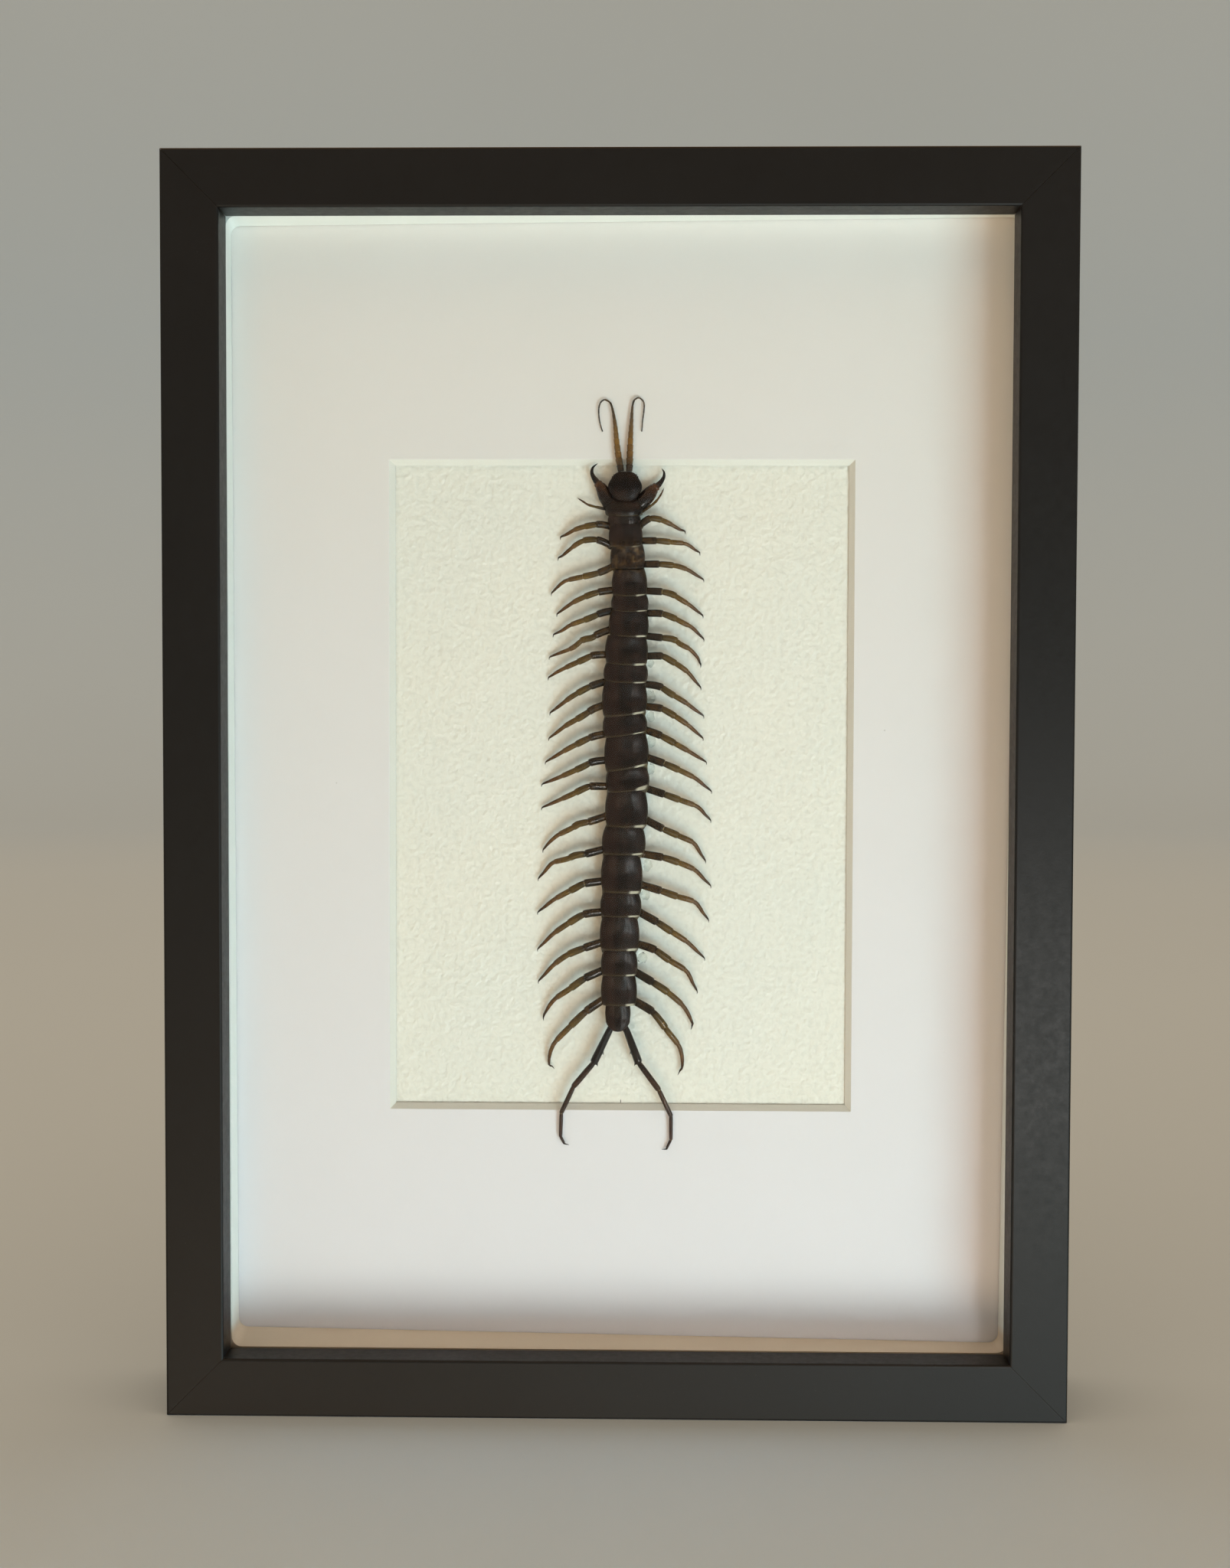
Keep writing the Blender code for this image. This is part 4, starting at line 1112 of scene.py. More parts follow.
class SPECIMEN_OT_back(bpy.types.Operator):
    """The hardboard back, the steel points that hold it and the toothed hanger"""

    bl_idname = "specimen.back"
    bl_label = "Back"

    def hardboard(self, settings):
        material, tree, place = textured_material("hardboard")
        fibres = grain(tree, stretched(tree, place, (1, 1, 2.5)), 0.8 * MM, 5, 0.7, 0.6)
        patches = grain(tree, place, 22 * MM, 3)
        flecks = grain(tree, place, 2.2 * MM, 2, 0.5, 1.2)
        colour = settings.hardboard_colour
        dark = scaled(colour, 0.55)
        base = blend_colours(tree, fibres, dark, colour)
        base = blend_colours(tree, spread(tree, patches, 0.0, 0.5), base, dark)
        pale = ramp(tree, flecks, ((0.66, 0.0), (0.72, 0.5)))
        base = blend_colours(tree, pale, base, [min(1.0, channel) for channel in scaled(colour, 1.7)])
        rough = spread(tree, fibres, 0.55, 0.8)
        join_shader(material, Base_Color=base, Roughness=rough, Normal=bump(tree, fibres, 0.08 * MM, 0.6))
        return material

    def steel(self, settings):
        material, tree, place = textured_material("plated_steel", Metallic=1.0)
        brushed = grain(tree, stretched(tree, place, (14, 1, 1)), 0.25 * MM, 3)
        spots = grain(tree, place, 3.5 * MM, 3)
        base = blend_colours(tree, spots, (0.5, 0.48, 0.44), (0.68, 0.66, 0.62))
        rough = spread(tree, brushed, settings.steel_roughness - 0.1, settings.steel_roughness + 0.16)
        join_shader(material, Base_Color=base, Roughness=rough, Normal=bump(tree, brushed, 0.01 * MM, 0.4))
        return material

    def board(self, settings):
        shape = box_shape(*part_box("backing_board"), 0.3 * MM)
        materials = (self.hardboard(settings),)
        place_piece("hardboard_back", shape, materials, ("backing_board",), 40, 300 * MM**2)

    def tab(self, number, steel):
        """A flat strip that lies on the board, with a bevelled tip and its root pressed into the rebate."""
        node = f"tab_{number}"
        low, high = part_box(node)
        centre = (low + high) / 2
        size = high - low
        outwards = centre - Vector((0, 0, MIDDLE_Z))
        if size.z > size.x:
            direction = Vector((0, 0, math.copysign(1, outwards.z)))
            length, width = size.z, size.x
        else:
            direction = Vector((math.copysign(1, outwards.x), 0, 0))
            length, width = size.x, size.z
        side = direction.cross(TO_VIEWER)
        outline = []
        for across, inwards in TAB_OUTLINE:
            spot = centre + side * (across * width) - direction * (inwards * length)
            outline.append((spot.x, low.y, spot.z))
        shape = outline_shape(outline)
        tip = shape.verts[:][1:5]
        bevel(shape, tip, TAB_CORNER_RADIUS, 3, "VERTICES")
        push_out(shape, (0, size.y * 0.8, 0))
        bmesh.ops.recalc_face_normals(shape, faces=shape.faces)
        bevel(shape, sharp_edges(shape), 0.08 * MM)
        tidy_normals(shape)
        place_piece(f"steel_{node}", shape, (steel,), (node,), 50, 4 * MM**2)

    def hanger(self, steel):
        """A strip bowed off the board between its two nailed feet, with teeth along its lower edge."""
        low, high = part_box("hanger")
        centre = (low + high) / 2
        half = (high.x - low.x) / 2
        bow = half - HANGER_FOOT
        raised = bow - HANGER_RAMP
        board_side = (
            (-half, 0),
            (-bow, 0),
            (-raised, HANGER_RISE),
            (raised, HANGER_RISE),
            (bow, 0),
            (half, 0),
        )
        outer_side = [(x, y + HANGER_THICKNESS) for x, y in reversed(board_side)]
        shape = outline_shape((x, low.y + y, low.z) for x, y in (*board_side, *outer_side))
        push_out(shape, (0, 0, high.z - low.z))
        long_edges = [edge for edge in shape.edges if self.is_raised(edge, low)]
        cuts = 2 * HANGER_TEETH + 1
        bmesh.ops.subdivide_edges(shape, edges=long_edges, cuts=cuts, use_grid_fill=True)
        step = 2 * raised / (cuts + 1)
        for vert in shape.verts:
            position = (vert.co.x + raised) / step
            inside = 0.5 < position < cuts + 0.5
            if inside and abs(vert.co.z - low.z) < TOUCH and round(position) % 2:
                vert.co.z += HANGER_NOTCH
        bmesh.ops.recalc_face_normals(shape, faces=shape.faces)
        bevel(shape, sharp_edges(shape), 0.1 * MM)
        dome = Matrix.Rotation(-math.pi / 2, 4, "X") @ Matrix.Diagonal((*NAIL_HEAD, 1))
        for direction in (-1, 1):
            nail = Vector((direction * (half - HANGER_FOOT / 2), low.y + HANGER_THICKNESS, centre.z))
            matrix = Matrix.Translation(nail) @ dome
            bmesh.ops.create_uvsphere(shape, u_segments=24, v_segments=12, radius=1, matrix=matrix)
        bmesh.ops.recalc_face_normals(shape, faces=shape.faces)
        place_piece("toothed_hanger", shape, (steel,), ("hanger",), 50, 1.5 * MM**2)

    def is_raised(self, edge, low):
        """Whether an edge runs along the hanger's raised part."""
        first, second = (vert.co for vert in edge.verts)
        level = abs(first.z - second.z) < TOUCH
        off_board = min(first.y, second.y) > low.y + HANGER_RISE - TOUCH
        return level and off_board and edge.calc_length() > HANGER_FOOT

    def execute(self, context):
        settings = context.scene.specimen_frame
        self.board(settings)
        steel = self.steel(settings)
        for number in range(1, TABS + 1):
            self.tab(number, steel)
        self.hanger(steel)
        return {"FINISHED"}


def shell_material(settings, gloss=0.24):
    """Dark glossy plates: browner on the left, nearly black in the middle, with olive borders."""
    material, tree, place = textured_material("plate_shell", Specular_IOR_Level=gloss)
    mottle = grain(tree, place, 1.6 * MM, 4, 0.6)
    streaks = grain(tree, stretched(tree, place, (1, 1, 7)), 0.3 * MM, 3, 0.6)
    across = wavering(tree, attribute(tree, "across"), mottle, 0.025)
    lengthwise = wavering(tree, attribute(tree, "lengthwise"), mottle, 0.02)
    plate, left, border = settings.plate_colour, settings.left_flush, settings.border_colour
    middle = scaled(plate, 0.62)
    stops = (
        (0.0, border),
        (0.035, left),
        (0.29, left),
        (0.42, middle),
        (0.64, middle),
        (0.76, plate),
        (0.965, plate),
        (1.0, border),
    )
    base = ramp(tree, across, stops)
    base = blend_colours(tree, ramp(tree, mottle, ((0.45, 0.0), (0.72, 0.6))), base, scaled(left, 1.9))
    base = blend_colours(tree, ramp(tree, streaks, ((0.35, 0.35), (0.6, 0.0))), base, middle)
    rear = ramp(tree, lengthwise, ((0.84, 0.0), (0.93, 0.2), (0.965, 0.6), (1.0, 0.35)))
    base = blend_colours(tree, rear, base, border)
    # The right end of each rear border is painted pale: partly wear, partly a painted glint on the lip
    worn = ramp(tree, across, ((0.68, 0.0), (0.76, 0.8), (0.92, 0.8), (0.98, 0.1)))
    thin = ramp(tree, lengthwise, ((0.925, 0.0), (0.945, 1.0)))
    base = blend_colours(tree, multiply(tree, worn, thin), base, settings.wear_and_glint_colour)
    # The damaged plate is thin, brown and patchy
    damage = attribute(tree, "damage")
    patches = grain(tree, place, 1.1 * MM, 6, 0.7, 0.5)
    stops = (
        (0.36, (0.005, 0.004, 0.003)),
        (0.48, (0.022, 0.012, 0.007)),
        (0.58, (0.055, 0.03, 0.013)),
        (0.7, (0.15, 0.09, 0.038)),
    )
    base = blend_colours(tree, damage, base, ramp(tree, patches, stops))
    polish = spread(tree, attribute(tree, "polish"), 1.0, 0.55)
    rough = multiply(tree, spread(tree, mottle, 0.27, 0.42), polish)
    normal = bump(tree, streaks, 0.012 * MM, 0.5)
    normal = bump(tree, mottle, 0.1 * MM, 0.4, normal)
    normal = bump(tree, multiply(tree, damage, patches), 0.5 * MM, 0.9, normal)
    join_shader(material, Base_Color=base, Roughness=rough, Normal=normal)
    return material


def flank_material(settings):
    """The soft skin of the flanks and between the plates."""
    material, tree, place = textured_material("flank_skin", Specular_IOR_Level=0.5)
    mottle = grain(tree, place, 1.1 * MM, 4, 0.65)
    colour = settings.membrane_colour
    base = ramp(tree, mottle, ((0.35, (0.02, 0.013, 0.008)), (0.52, scaled(colour, 0.6)), (0.7, colour)))
    rough = spread(tree, mottle, 0.28, 0.5)
    join_shader(material, Base_Color=base, Roughness=rough, Normal=bump(tree, mottle, 0.15 * MM, 0.6))
    return material


def limb_material(name, stops, rough_stops, tone_colour, skin=(0.55, 0.42, 0.2), skin_and_glint_share=0.75):
    """A limb's colour and gloss from its root to its tip, with pale skin and a painted glint at some joints.
    """
    material, tree, place = textured_material(
        name, Coat_Weight=0.3, Coat_Roughness=0.08, Specular_IOR_Level=0.3
    )
    share = attribute(tree, "along")
    mottle = grain(tree, place, 0.9 * MM, 4, 0.65)
    fine = grain(tree, place, 0.25 * MM, 2)
    base = ramp(tree, share, stops)
    toned = multiply(tree, attribute(tree, "tone"), spread(tree, mottle, -0.35, 1.1), True)
    base = blend_colours(tree, toned, base, tone_colour)
    darker = blend_colours(tree, 1.0, base, (0.36, 0.3, 0.26), "MULTIPLY")
    base = blend_colours(tree, spread(tree, mottle, 1.2, -0.7), base, darker)
    # Pale joint skin, which also stands for a painted glint at some joints
    patch = grain(tree, place, 1.4 * MM, 1)
    pale = ramp(tree, patch, ((0.6, 0.0), (0.68, skin_and_glint_share)))
    base = blend_colours(tree, multiply(tree, attribute(tree, "joint"), pale, True), base, skin)
    normal = bump(tree, fine, 0.02 * MM, 0.4)
    normal = bump(tree, mottle, 0.08 * MM, 0.4, normal)
    join_shader(material, Base_Color=base, Roughness=ramp(tree, share, rough_stops), Normal=normal)
    return material


class SPECIMEN_OT_trunk(bpy.types.Operator):
    """The segmented body: soft flanks under 21 overlapping back plates"""

    bl_idname = "specimen.trunk"
    bl_label = "Trunk"

    def crown(self, across, half_width):
        """Height of the back over the body's axis at this share of its half width."""
        return half_width * BODY_FLATNESS * (1 - min(1.0, abs(across)) ** 2.5) ** 0.55

    def relief(self, number, across, length, plate_length):
        """How far a plate stands over or under its plain arch at this place."""
        lift = 0.34 * MM * (length - 0.75)
        for suture in SUTURES:
            groove = math.exp(-(((across - suture) / 0.07) ** 2))
            lift -= 0.05 * MM * groove * min(1.0, 6 * length * (1.05 - length))
        lift += 0.08 * MM * math.exp(-(((abs(across) - 0.93) / 0.03) ** 2))
        # The rear border is a raised lip that turns down at its very edge
        lift += 0.07 * MM * math.exp(-(((length - 0.95) / 0.03) ** 2))
        lift -= 0.15 * MM * (max(0.0, length - 0.965) / 0.035) ** 2
        if number > 1:
            lift -= 0.07 * plate_length * (0.5 - 0.5 * math.cos(2 * math.pi * length)) * (1 - across**4)
        if number == 0:
            # The neck dips under the head and falls away at its rear
            lift -= 1.9 * MM * max(0.0, 1 - length / 0.75) ** 1.5
            lift -= 0.2 * MM + 0.35 * MM * max(0.0, 4 * length - 3) ** 2
        if number == 1:
            lift -= 0.1 * MM + 1.0 * MM * (length - 0.2)
        if number == BULGED_PLATE:
            for place, row, size in BULGES:
                bulge = ((across - place) / size) ** 2 + ((length - row) / 0.13) ** 2
                lift += 0.22 * MM * math.exp(-bulge)
        return lift

    def polish(self, number, across, length):
        """How worn smooth a plate is at this place, from 0 to 1."""
        shine = 0.0
        for middle, row, reach, rows in POLISHED.get(number, ()):
            away = ((across - middle) / reach) ** 2 + ((length - row) / rows) ** 2
            shine = max(shine, math.exp(-(away**2)))
        return shine

    def damage(self, number, length):
        """How much of the torn brown look a plate has at this row: its neighbours share a little of it."""
        if number == DAMAGED_PLATE:
            return 1.0
        if number == DAMAGED_PLATE - 1:
            return max(0.0, length * 2.4 - 1.6)
        if number == DAMAGED_PLATE + 1:
            return max(0.0, 0.7 - length * 2)
        return 0.0

    def add_plate(self, shape, number, plate):
        front, rear, left, right = plate
        layers = add_layers(shape, PLATE_LAYERS)
        half_width = (right - left) / 2 / PX_PER_MM * MM
        plate_length = (rear - front) / PX_PER_MM * MM
        centre_px = (left + right) / 2
        last = number == len(BACK_PLATES) - 1
        widths = NECK_WIDTHS if number == 0 else TAIL_WIDTHS if last else PLATE_WIDTHS
        hidden = 3.5 if number else 6.0
        grid = bmesh.ops.create_grid(shape, x_segments=44, y_segments=26, size=1)
        for vert in grid["verts"]:
            # The rows lie closer together towards the rear border
            across, length = vert.co.x, 1 - ((1 - vert.co.y) / 2) ** 1.5
            row = front - hidden + (rear - front + hidden) * length
            bowed = 1.4 * (1 - across**2) * (length**3) - SKEWS.get(number, 0.0) * across * length**2
            width = along(widths, length) * half_width
            height = BODY_HEIGHT + self.crown(across * 0.985, half_width) * along(widths, length) ** 0.5
            height += self.relief(number, across, length, plate_length)
            dents = noise.noise(Vector((across * 1.7, row / 18, number * 3.1)))
            dimples = noise.noise(Vector((across * 5, row / 7, number * 1.7)))
            height += dents * 0.14 * MM + dimples * 0.035 * MM
            if number == DAMAGED_PLATE:
                torn = noise.noise(Vector((across * 5, row / 4.5, 7.0)))
                height -= (0.22 + 0.3 * torn) * MM * math.sin(min(1.0, length * 1.1) * math.pi) ** 0.5
            spot = specimen_point((centre_px, row + bowed), height)
            vert.co = spot + Vector((across * width, 0, 0))
            # On that plate the pale border, with its painted glint, reaches further forward on the right
            worn = 0.35 * max(0.0, across - 0.25) if number == WEAR_AND_GLINT_PLATE else 0.0
            values = (
                (across + 1) / 2 if number else 0.55 + across * 0.1,
                min(length, 0.84) if last else length + worn * length**2,
                self.damage(number, length),
                self.polish(number, across, length),
            )
            fill_layers((vert,), layers, values)

    def plates(self, settings):
        whole = bmesh.new()
        add_layers(whole, PLATE_LAYERS)
        for number, plate in enumerate(BACK_PLATES):
            shape = bmesh.new()
            self.add_plate(shape, number, plate)
            bmesh.ops.recalc_face_normals(shape, faces=shape.faces)
            outward = sum((face.normal for face in shape.faces), Vector())
            if outward.y > 0:
                bmesh.ops.reverse_faces(shape, faces=shape.faces)
            bmesh.ops.solidify(shape, geom=shape.faces[:], thickness=settings.plate_thickness)
            bmesh.ops.recalc_face_normals(shape, faces=shape.faces)
            append_shape(whole, shape)
        return whole

    def flanks(self):
        """The trunk under the plates, a little narrower than they are, with wrinkled skin."""
        rows = [(646, 815.5, 3.1, 1.2 * MM), (652, 815.5, 3.6, 1.2 * MM)]
        for number, (front, rear, left, right) in enumerate(BACK_PLATES):
            centre = (left + right) / 2
            half = (right - left) / 2 / PX_PER_MM
            last = number == len(BACK_PLATES) - 1
            for part, share in ((0.0, 0.9), (0.12, 0.93), (0.4, 0.975), (0.75, 0.985), (0.93, 0.95)):
                share *= along(TAIL_WIDTHS, part) if last else 1.0
                drop = 0.2 * MM if number else (1.6 - part) * MM
                drop += SUNKEN.get(number, 0.0) * MM
                rows.append((front + (rear - front) * part, centre, half * share, drop))
        stations = []
        for row, centre, half, drop in rows:
            half *= MM
            place = specimen_point((centre, row), BODY_HEIGHT - drop)
            stations.append(section_matrix(place, Vector((0, 0, -1)), half, half * (BODY_FLATNESS - 0.1)))
        shape = bmesh.new()
        loft(shape, stations, 40, (), [()] * len(stations))
        lengthwise = [
            edge
            for edge in shape.edges
            if len(edge.link_faces) == 2 and abs(edge.verts[0].co.z - edge.verts[1].co.z) > 0.3 * MM
        ]
        bmesh.ops.subdivide_edges(shape, edges=lengthwise, cuts=2)
        for vert in shape.verts:
            spot = vert.co / (1.1 * MM)
            wrinkle = noise.noise(Vector((spot.x * 0.5, spot.y, spot.z * 1.6)))
            outwards = vert.co - Vector((0, PAPER_Y - BODY_HEIGHT, vert.co.z))
            vert.co += outwards.normalized() * wrinkle * 0.14 * MM
            vert.co.y = min(vert.co.y, PAPER_Y - 0.06 * MM)
        return shape

    def execute(self, context):
        settings = context.scene.specimen_animal
        place_animal("centipede_flanks", self.flanks(), flank_material(settings))
        # The plates stay apart, so their doubles aren't merged
        plates, shell = self.plates(settings), shell_material(settings)
        place_piece("centipede_back_plates", plates, (shell,), ("centipede",), 50)
        return {"FINISHED"}


class SPECIMEN_OT_head(bpy.types.Operator):
    """The head plate with its eyes, the poison claws and the antennae"""

    bl_idname = "specimen.head"
    bl_label = "Head"

    def head_plate(self):
        """A rounded, slightly six-sided dome with a thin rim."""
        shape = bmesh.new()
        layers = add_layers(shape, PLATE_LAYERS)
        half_width, half_length = (size / PX_PER_MM * MM for size in HEAD_HALF_SIZE)
        middle = specimen_point(HEAD_CENTRE, BODY_HEIGHT + 0.15 * MM)
        bmesh.ops.create_uvsphere(shape, u_segments=64, v_segments=32, radius=1)
        for vert in shape.verts:
            # The sphere's pole points to the viewer: u runs right, w down the head, up is the height
            u, w, up = vert.co
            angle = math.atan2(w, u)
            radial = math.hypot(u, w)
            outline = 1 + 0.028 * math.cos(6 * angle) - 0.035 * max(0.0, -math.sin(angle)) ** 4
            height = math.copysign(abs(up) ** 0.52, up) * HEAD_RISE
            if up > 0:
                height += 0.09 * MM * math.exp(-(((radial - 0.95) / 0.03) ** 2))
            else:
                height *= 0.7
            height += noise.noise(Vector((u * 1.5, w * 1.5, 3.0))) * 0.06 * MM * (1 - radial)
            fill_layers((vert,), layers, (0.55 + u * 0.1, 0.5, 0.0, 0.0))
            vert.co = middle + Vector((u * half_width * outline, -height, -w * half_length * outline))
        size = Matrix.Diagonal((EYE_RADIUS, EYE_RADIUS, EYE_RADIUS, 1))
        for side in (-1, 1):
            for across, forward in EYES:
                offset = (side * across * half_width * 0.82, -0.75 * MM, forward * half_length * 0.95)
                place = Matrix.Translation(middle + Vector(offset))
                bmesh.ops.create_uvsphere(shape, u_segments=12, v_segments=8, radius=1, matrix=place @ size)
        return shape

    def claw(self, shape, layers, pixels):
        """One poison claw: a stout reddish first article, two short ones and the black hooked fang."""
        line, shares = limb_line(pixels, ((0.0, 2.6), (1.0, 2.0)))
        stations, values = [], []
        for share, width in POISON_CLAW_PROFILE:
            stations.append(station_at(line, shares, share, width * MM, 0.8, 0.03))
            values.append((share, 0.0, 0.0))
        loft(shape, stations, 20, layers, values)

    def antenna(self, shape, layers, pixels, articles):
        """Articles that get shorter towards the tip, each a small goblet with a flared rim."""
        line, shares = limb_line(pixels, ANTENNA_HEIGHTS)
        stations, values = [], []
        for number in range(articles):
            start = 1 - (1 - number / articles) ** 1.15
            end = 1 - (1 - (number + 1) / articles) ** 1.15
            for part, swell in GOBLET_PROFILE:
                share = start + (end - start) * part
                width = along(ANTENNA_WIDTHS, share) * swell * MM
                stations.append(station_at(line, shares, share, width, 0.9))
                values.append((share, 1.0 if part == 0.0 else 0.0, number % 2))
        loft(shape, stations, LIMB_SIDES, layers, values)

    def execute(self, context):
        settings = context.scene.specimen_animal
        place_animal("centipede_head", self.head_plate(), shell_material(settings, 0.15), 50)

        claws = bmesh.new()
        layers = add_layers(claws, LIMB_LAYERS)
        for pixels in (LEFT_POISON_CLAW, RIGHT_POISON_CLAW):
            self.claw(claws, layers, pixels)
        claw_stops = (
            (0.0, (0.007, 0.005, 0.004)),
            (0.2, (0.012, 0.006, 0.004)),
            (0.36, (0.026, 0.01, 0.005)),
            (0.47, (0.05, 0.018, 0.007)),
            (0.53, (0.085, 0.031, 0.01)),
            (0.58, (0.02, 0.008, 0.005)),
            (0.66, (0.008, 0.005, 0.005)),
            (1.0, (0.006, 0.004, 0.004)),
        )
        rough = ((0.0, 0.18), (0.5, 0.24), (0.6, 0.12), (1.0, 0.12))
        material = limb_material("poison_claw", claw_stops, rough, (0.05, 0.02, 0.01))
        place_animal("centipede_poison_claws", claws, material)

        antennae = bmesh.new()
        layers = add_layers(antennae, LIMB_LAYERS)
        for pixels in (LEFT_ANTENNA, RIGHT_ANTENNA):
            self.antenna(antennae, layers, pixels, settings.antenna_articles)
        antenna_stops = (
            (0.0, (0.03, 0.018, 0.01)),
            (0.07, (0.05, 0.028, 0.012)),
            (0.13, (0.14, 0.066, 0.016)),
            (0.24, (0.24, 0.12, 0.026)),
            (0.34, (0.21, 0.115, 0.032)),
            (0.46, (0.12, 0.075, 0.035)),
            (0.58, (0.06, 0.042, 0.026)),
            (0.75, (0.045, 0.036, 0.028)),
            (1.0, (0.05, 0.045, 0.038)),
        )
        rough = ((0.0, 0.24), (1.0, 0.35))
        material = limb_material("antenna", antenna_stops, rough, (0.14, 0.08, 0.03), (0.3, 0.18, 0.06), 0.5)
        place_animal("centipede_antennae", antennae, material)
        return {"FINISHED"}


class SPECIMEN_OT_legs(bpy.types.Operator):
    """Twenty pairs of walking legs and the long terminal pair"""

    bl_idname = "specimen.legs"
    bl_label = "Legs"

    def walking_leg(self, whole, pixels, number, side, tone):
        """A leg with a hooked claw and a swollen base; the first pair is small and has neither."""
        first = number == 0
        articles = FIRST_LEG_ARTICLES if first else WALKING_ARTICLES
        if not first:
            # The claw hooks down from the leg's last stretch
            tip, before = Vector(pixels[-1]), Vector(pixels[-2])
            way = (tip - before).normalized()
            hook = (way + Vector((-0.35 * side, 0.8))).normalized() * CLAW_PX
            bend = tip - hook + way * 0.4
            pixels = (*pixels[:-1], tuple(before.lerp(bend, 0.6)), tuple(bend), tuple(tip))
        line, _ = limb_line(pixels, LEG_HEIGHTS)
        inwards = (line[0] - line[3]).normalized()
        outline = [line[0] + inwards * 1.6 * MM, *line]
        root = shares_of(outline)[1]
        ends = [root + (1 - root) * end for end, _, _ in articles]
        widths = [(start_width, end_width) for _, start_width, end_width in articles]
        scale = 0.93 + 0.17 * number / (len(LEFT_LEGS) - 1)
        shape = bmesh.new()
        layers = add_layers(shape, LIMB_LAYERS)
        add_articles(shape, outline, ends, widths, layers, tone, scale)
        if not first:
            size = Matrix.Diagonal((1.3 * MM, 1.1 * MM, 1.05 * MM, 1))
            base = Matrix.Translation(line[0] + inwards * 0.9 * MM) @ size
            knob = bmesh.ops.create_uvsphere(shape, u_segments=16, v_segments=10, radius=1, matrix=base)
            fill_layers(knob["verts"], layers, (0.02, 0.0, tone))
        append_shape(whole, shape)

    def terminal_leg(self, whole, pixels, side):
        """A long leg of straight articles, with short spines on the inner side of its first one."""
        flat = [Vector((*pixel, 0)) for pixel in pixels]
        shares = shares_of(flat)
        heights = [along(TERMINAL_HEIGHTS, share) * MM for share in shares]
        joints = [specimen_point(point.xy, height) for point, height in zip(flat, heights)]
        shape = bmesh.new()
        layers = add_layers(shape, LIMB_LAYERS)
        add_articles(shape, joints, shares[2:], TERMINAL_WIDTHS, layers, 0.0)
        start, end = joints[1], joints[2]
        direction = (end - start).normalized()
        inner = direction.cross(TO_VIEWER) * side
        for part, out in ((0.62, 0.95), (0.97, 0.9), (0.99, 0.3)):
            root = start.lerp(end, part) + inner * out * 0.95 * MM
            way = (direction * 1.2 + inner * out).normalized()
            stations = [
                section_matrix(root + way * step * SPINE_LENGTH, way, width * MM, width * MM)
                for step, width in SPINE_PROFILE
            ]
            loft(shape, stations, 8, layers, [(0.15, 0.0, 0.0)] * len(stations))
        append_shape(whole, shape)

    def execute(self, context):
        order = random.Random(21)
        walking = bmesh.new()
        add_layers(walking, LIMB_LAYERS)
        for number, (left, right) in enumerate(zip(LEFT_LEGS, RIGHT_LEGS)):
            self.walking_leg(walking, left, number, -1, order.uniform(0.1, 0.7))
            self.walking_leg(walking, right, number, 1, order.uniform(0.1, 0.7))
        leg_stops = (
            (0.0, (0.02, 0.014, 0.009)),
            (0.08, (0.008, 0.0065, 0.0055)),
            (0.27, (0.009, 0.007, 0.0055)),
            (0.3, (0.055, 0.037, 0.01)),
            (0.46, (0.1, 0.062, 0.013)),
            (0.5, (0.115, 0.07, 0.016)),
            (0.66, (0.115, 0.058, 0.015)),
            (0.82, (0.1, 0.042, 0.013)),
            (0.92, (0.03, 0.012, 0.007)),
            (1.0, (0.006, 0.005, 0.005)),
        )
        rough = ((0.0, 0.2), (0.1, 0.17), (0.25, 0.17), (0.3, 0.26), (0.7, 0.28), (0.95, 0.22))
        material = limb_material("leg_shell", leg_stops, rough, (0.15, 0.072, 0.016))
        place_animal("centipede_walking_legs", walking, material)

        terminal = bmesh.new()
        add_layers(terminal, LIMB_LAYERS)
        self.terminal_leg(terminal, LEFT_TERMINAL_LEG, -1)
        self.terminal_leg(terminal, RIGHT_TERMINAL_LEG, 1)
        terminal_stops = (
            (0.0, (0.013, 0.009, 0.008)),
            (0.34, (0.014, 0.01, 0.008)),
            (0.4, (0.034, 0.015, 0.009)),
            (0.56, (0.052, 0.024, 0.011)),
            (0.7, (0.036, 0.019, 0.012)),
            (0.88, (0.06, 0.026, 0.02)),
            (1.0, (0.012, 0.008, 0.007)),
        )
        rough = ((0.0, 0.16), (0.3, 0.2), (1.0, 0.26))
        material = limb_material("terminal_leg_shell", terminal_stops, rough, (0.06, 0.03, 0.015))
        place_animal("centipede_terminal_legs", terminal, material)
        return {"FINISHED"}


class SPECIMEN_OT_glue(bpy.types.Operator):
    """Clear glue along the right flank"""

    bl_idname = "specimen.glue"
    bl_label = "Glue"

    def execute(self, context):
        colour = (*context.scene.specimen_animal.glue_colour, 1)
        material = new_material(
            "clear_glue", Base_Color=colour, Roughness=0.08, IOR=1.42, Transmission_Weight=1.0
        )
        for number in range(1, GLUE_BEADS + 1):
            node = f"glue_bead_{number}"
            low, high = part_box(node)
            foot = (low + high) / 2
            foot.y = high.y
            matrix = Matrix.Translation(foot) @ Matrix.Diagonal((*((high - low) / 2), 1))
            shape = bmesh.new()
            bmesh.ops.create_icosphere(shape, subdivisions=5, radius=1, matrix=matrix)
            for vert in shape.verts:
                out = vert.co - foot
                lump = noise.noise(vert.co / (1.3 * MM)) * 0.4 + noise.noise(vert.co / (0.5 * MM)) * 0.12
                vert.co = foot + out * min(1.0, 0.95 + lump)
                thickness = 0.65 + 0.6 * noise.noise(vert.co / (0.6 * MM) + Vector((3, 1, 4)))
                vert.co.y = high.y + min(0.0, vert.co.y - high.y) * thickness
            tidy_normals(shape)
            smear = place_piece(f"glue_smear_{number}", shape, (material,), (node,), 80)
            smear.visible_shadow = False
        return {"FINISHED"}


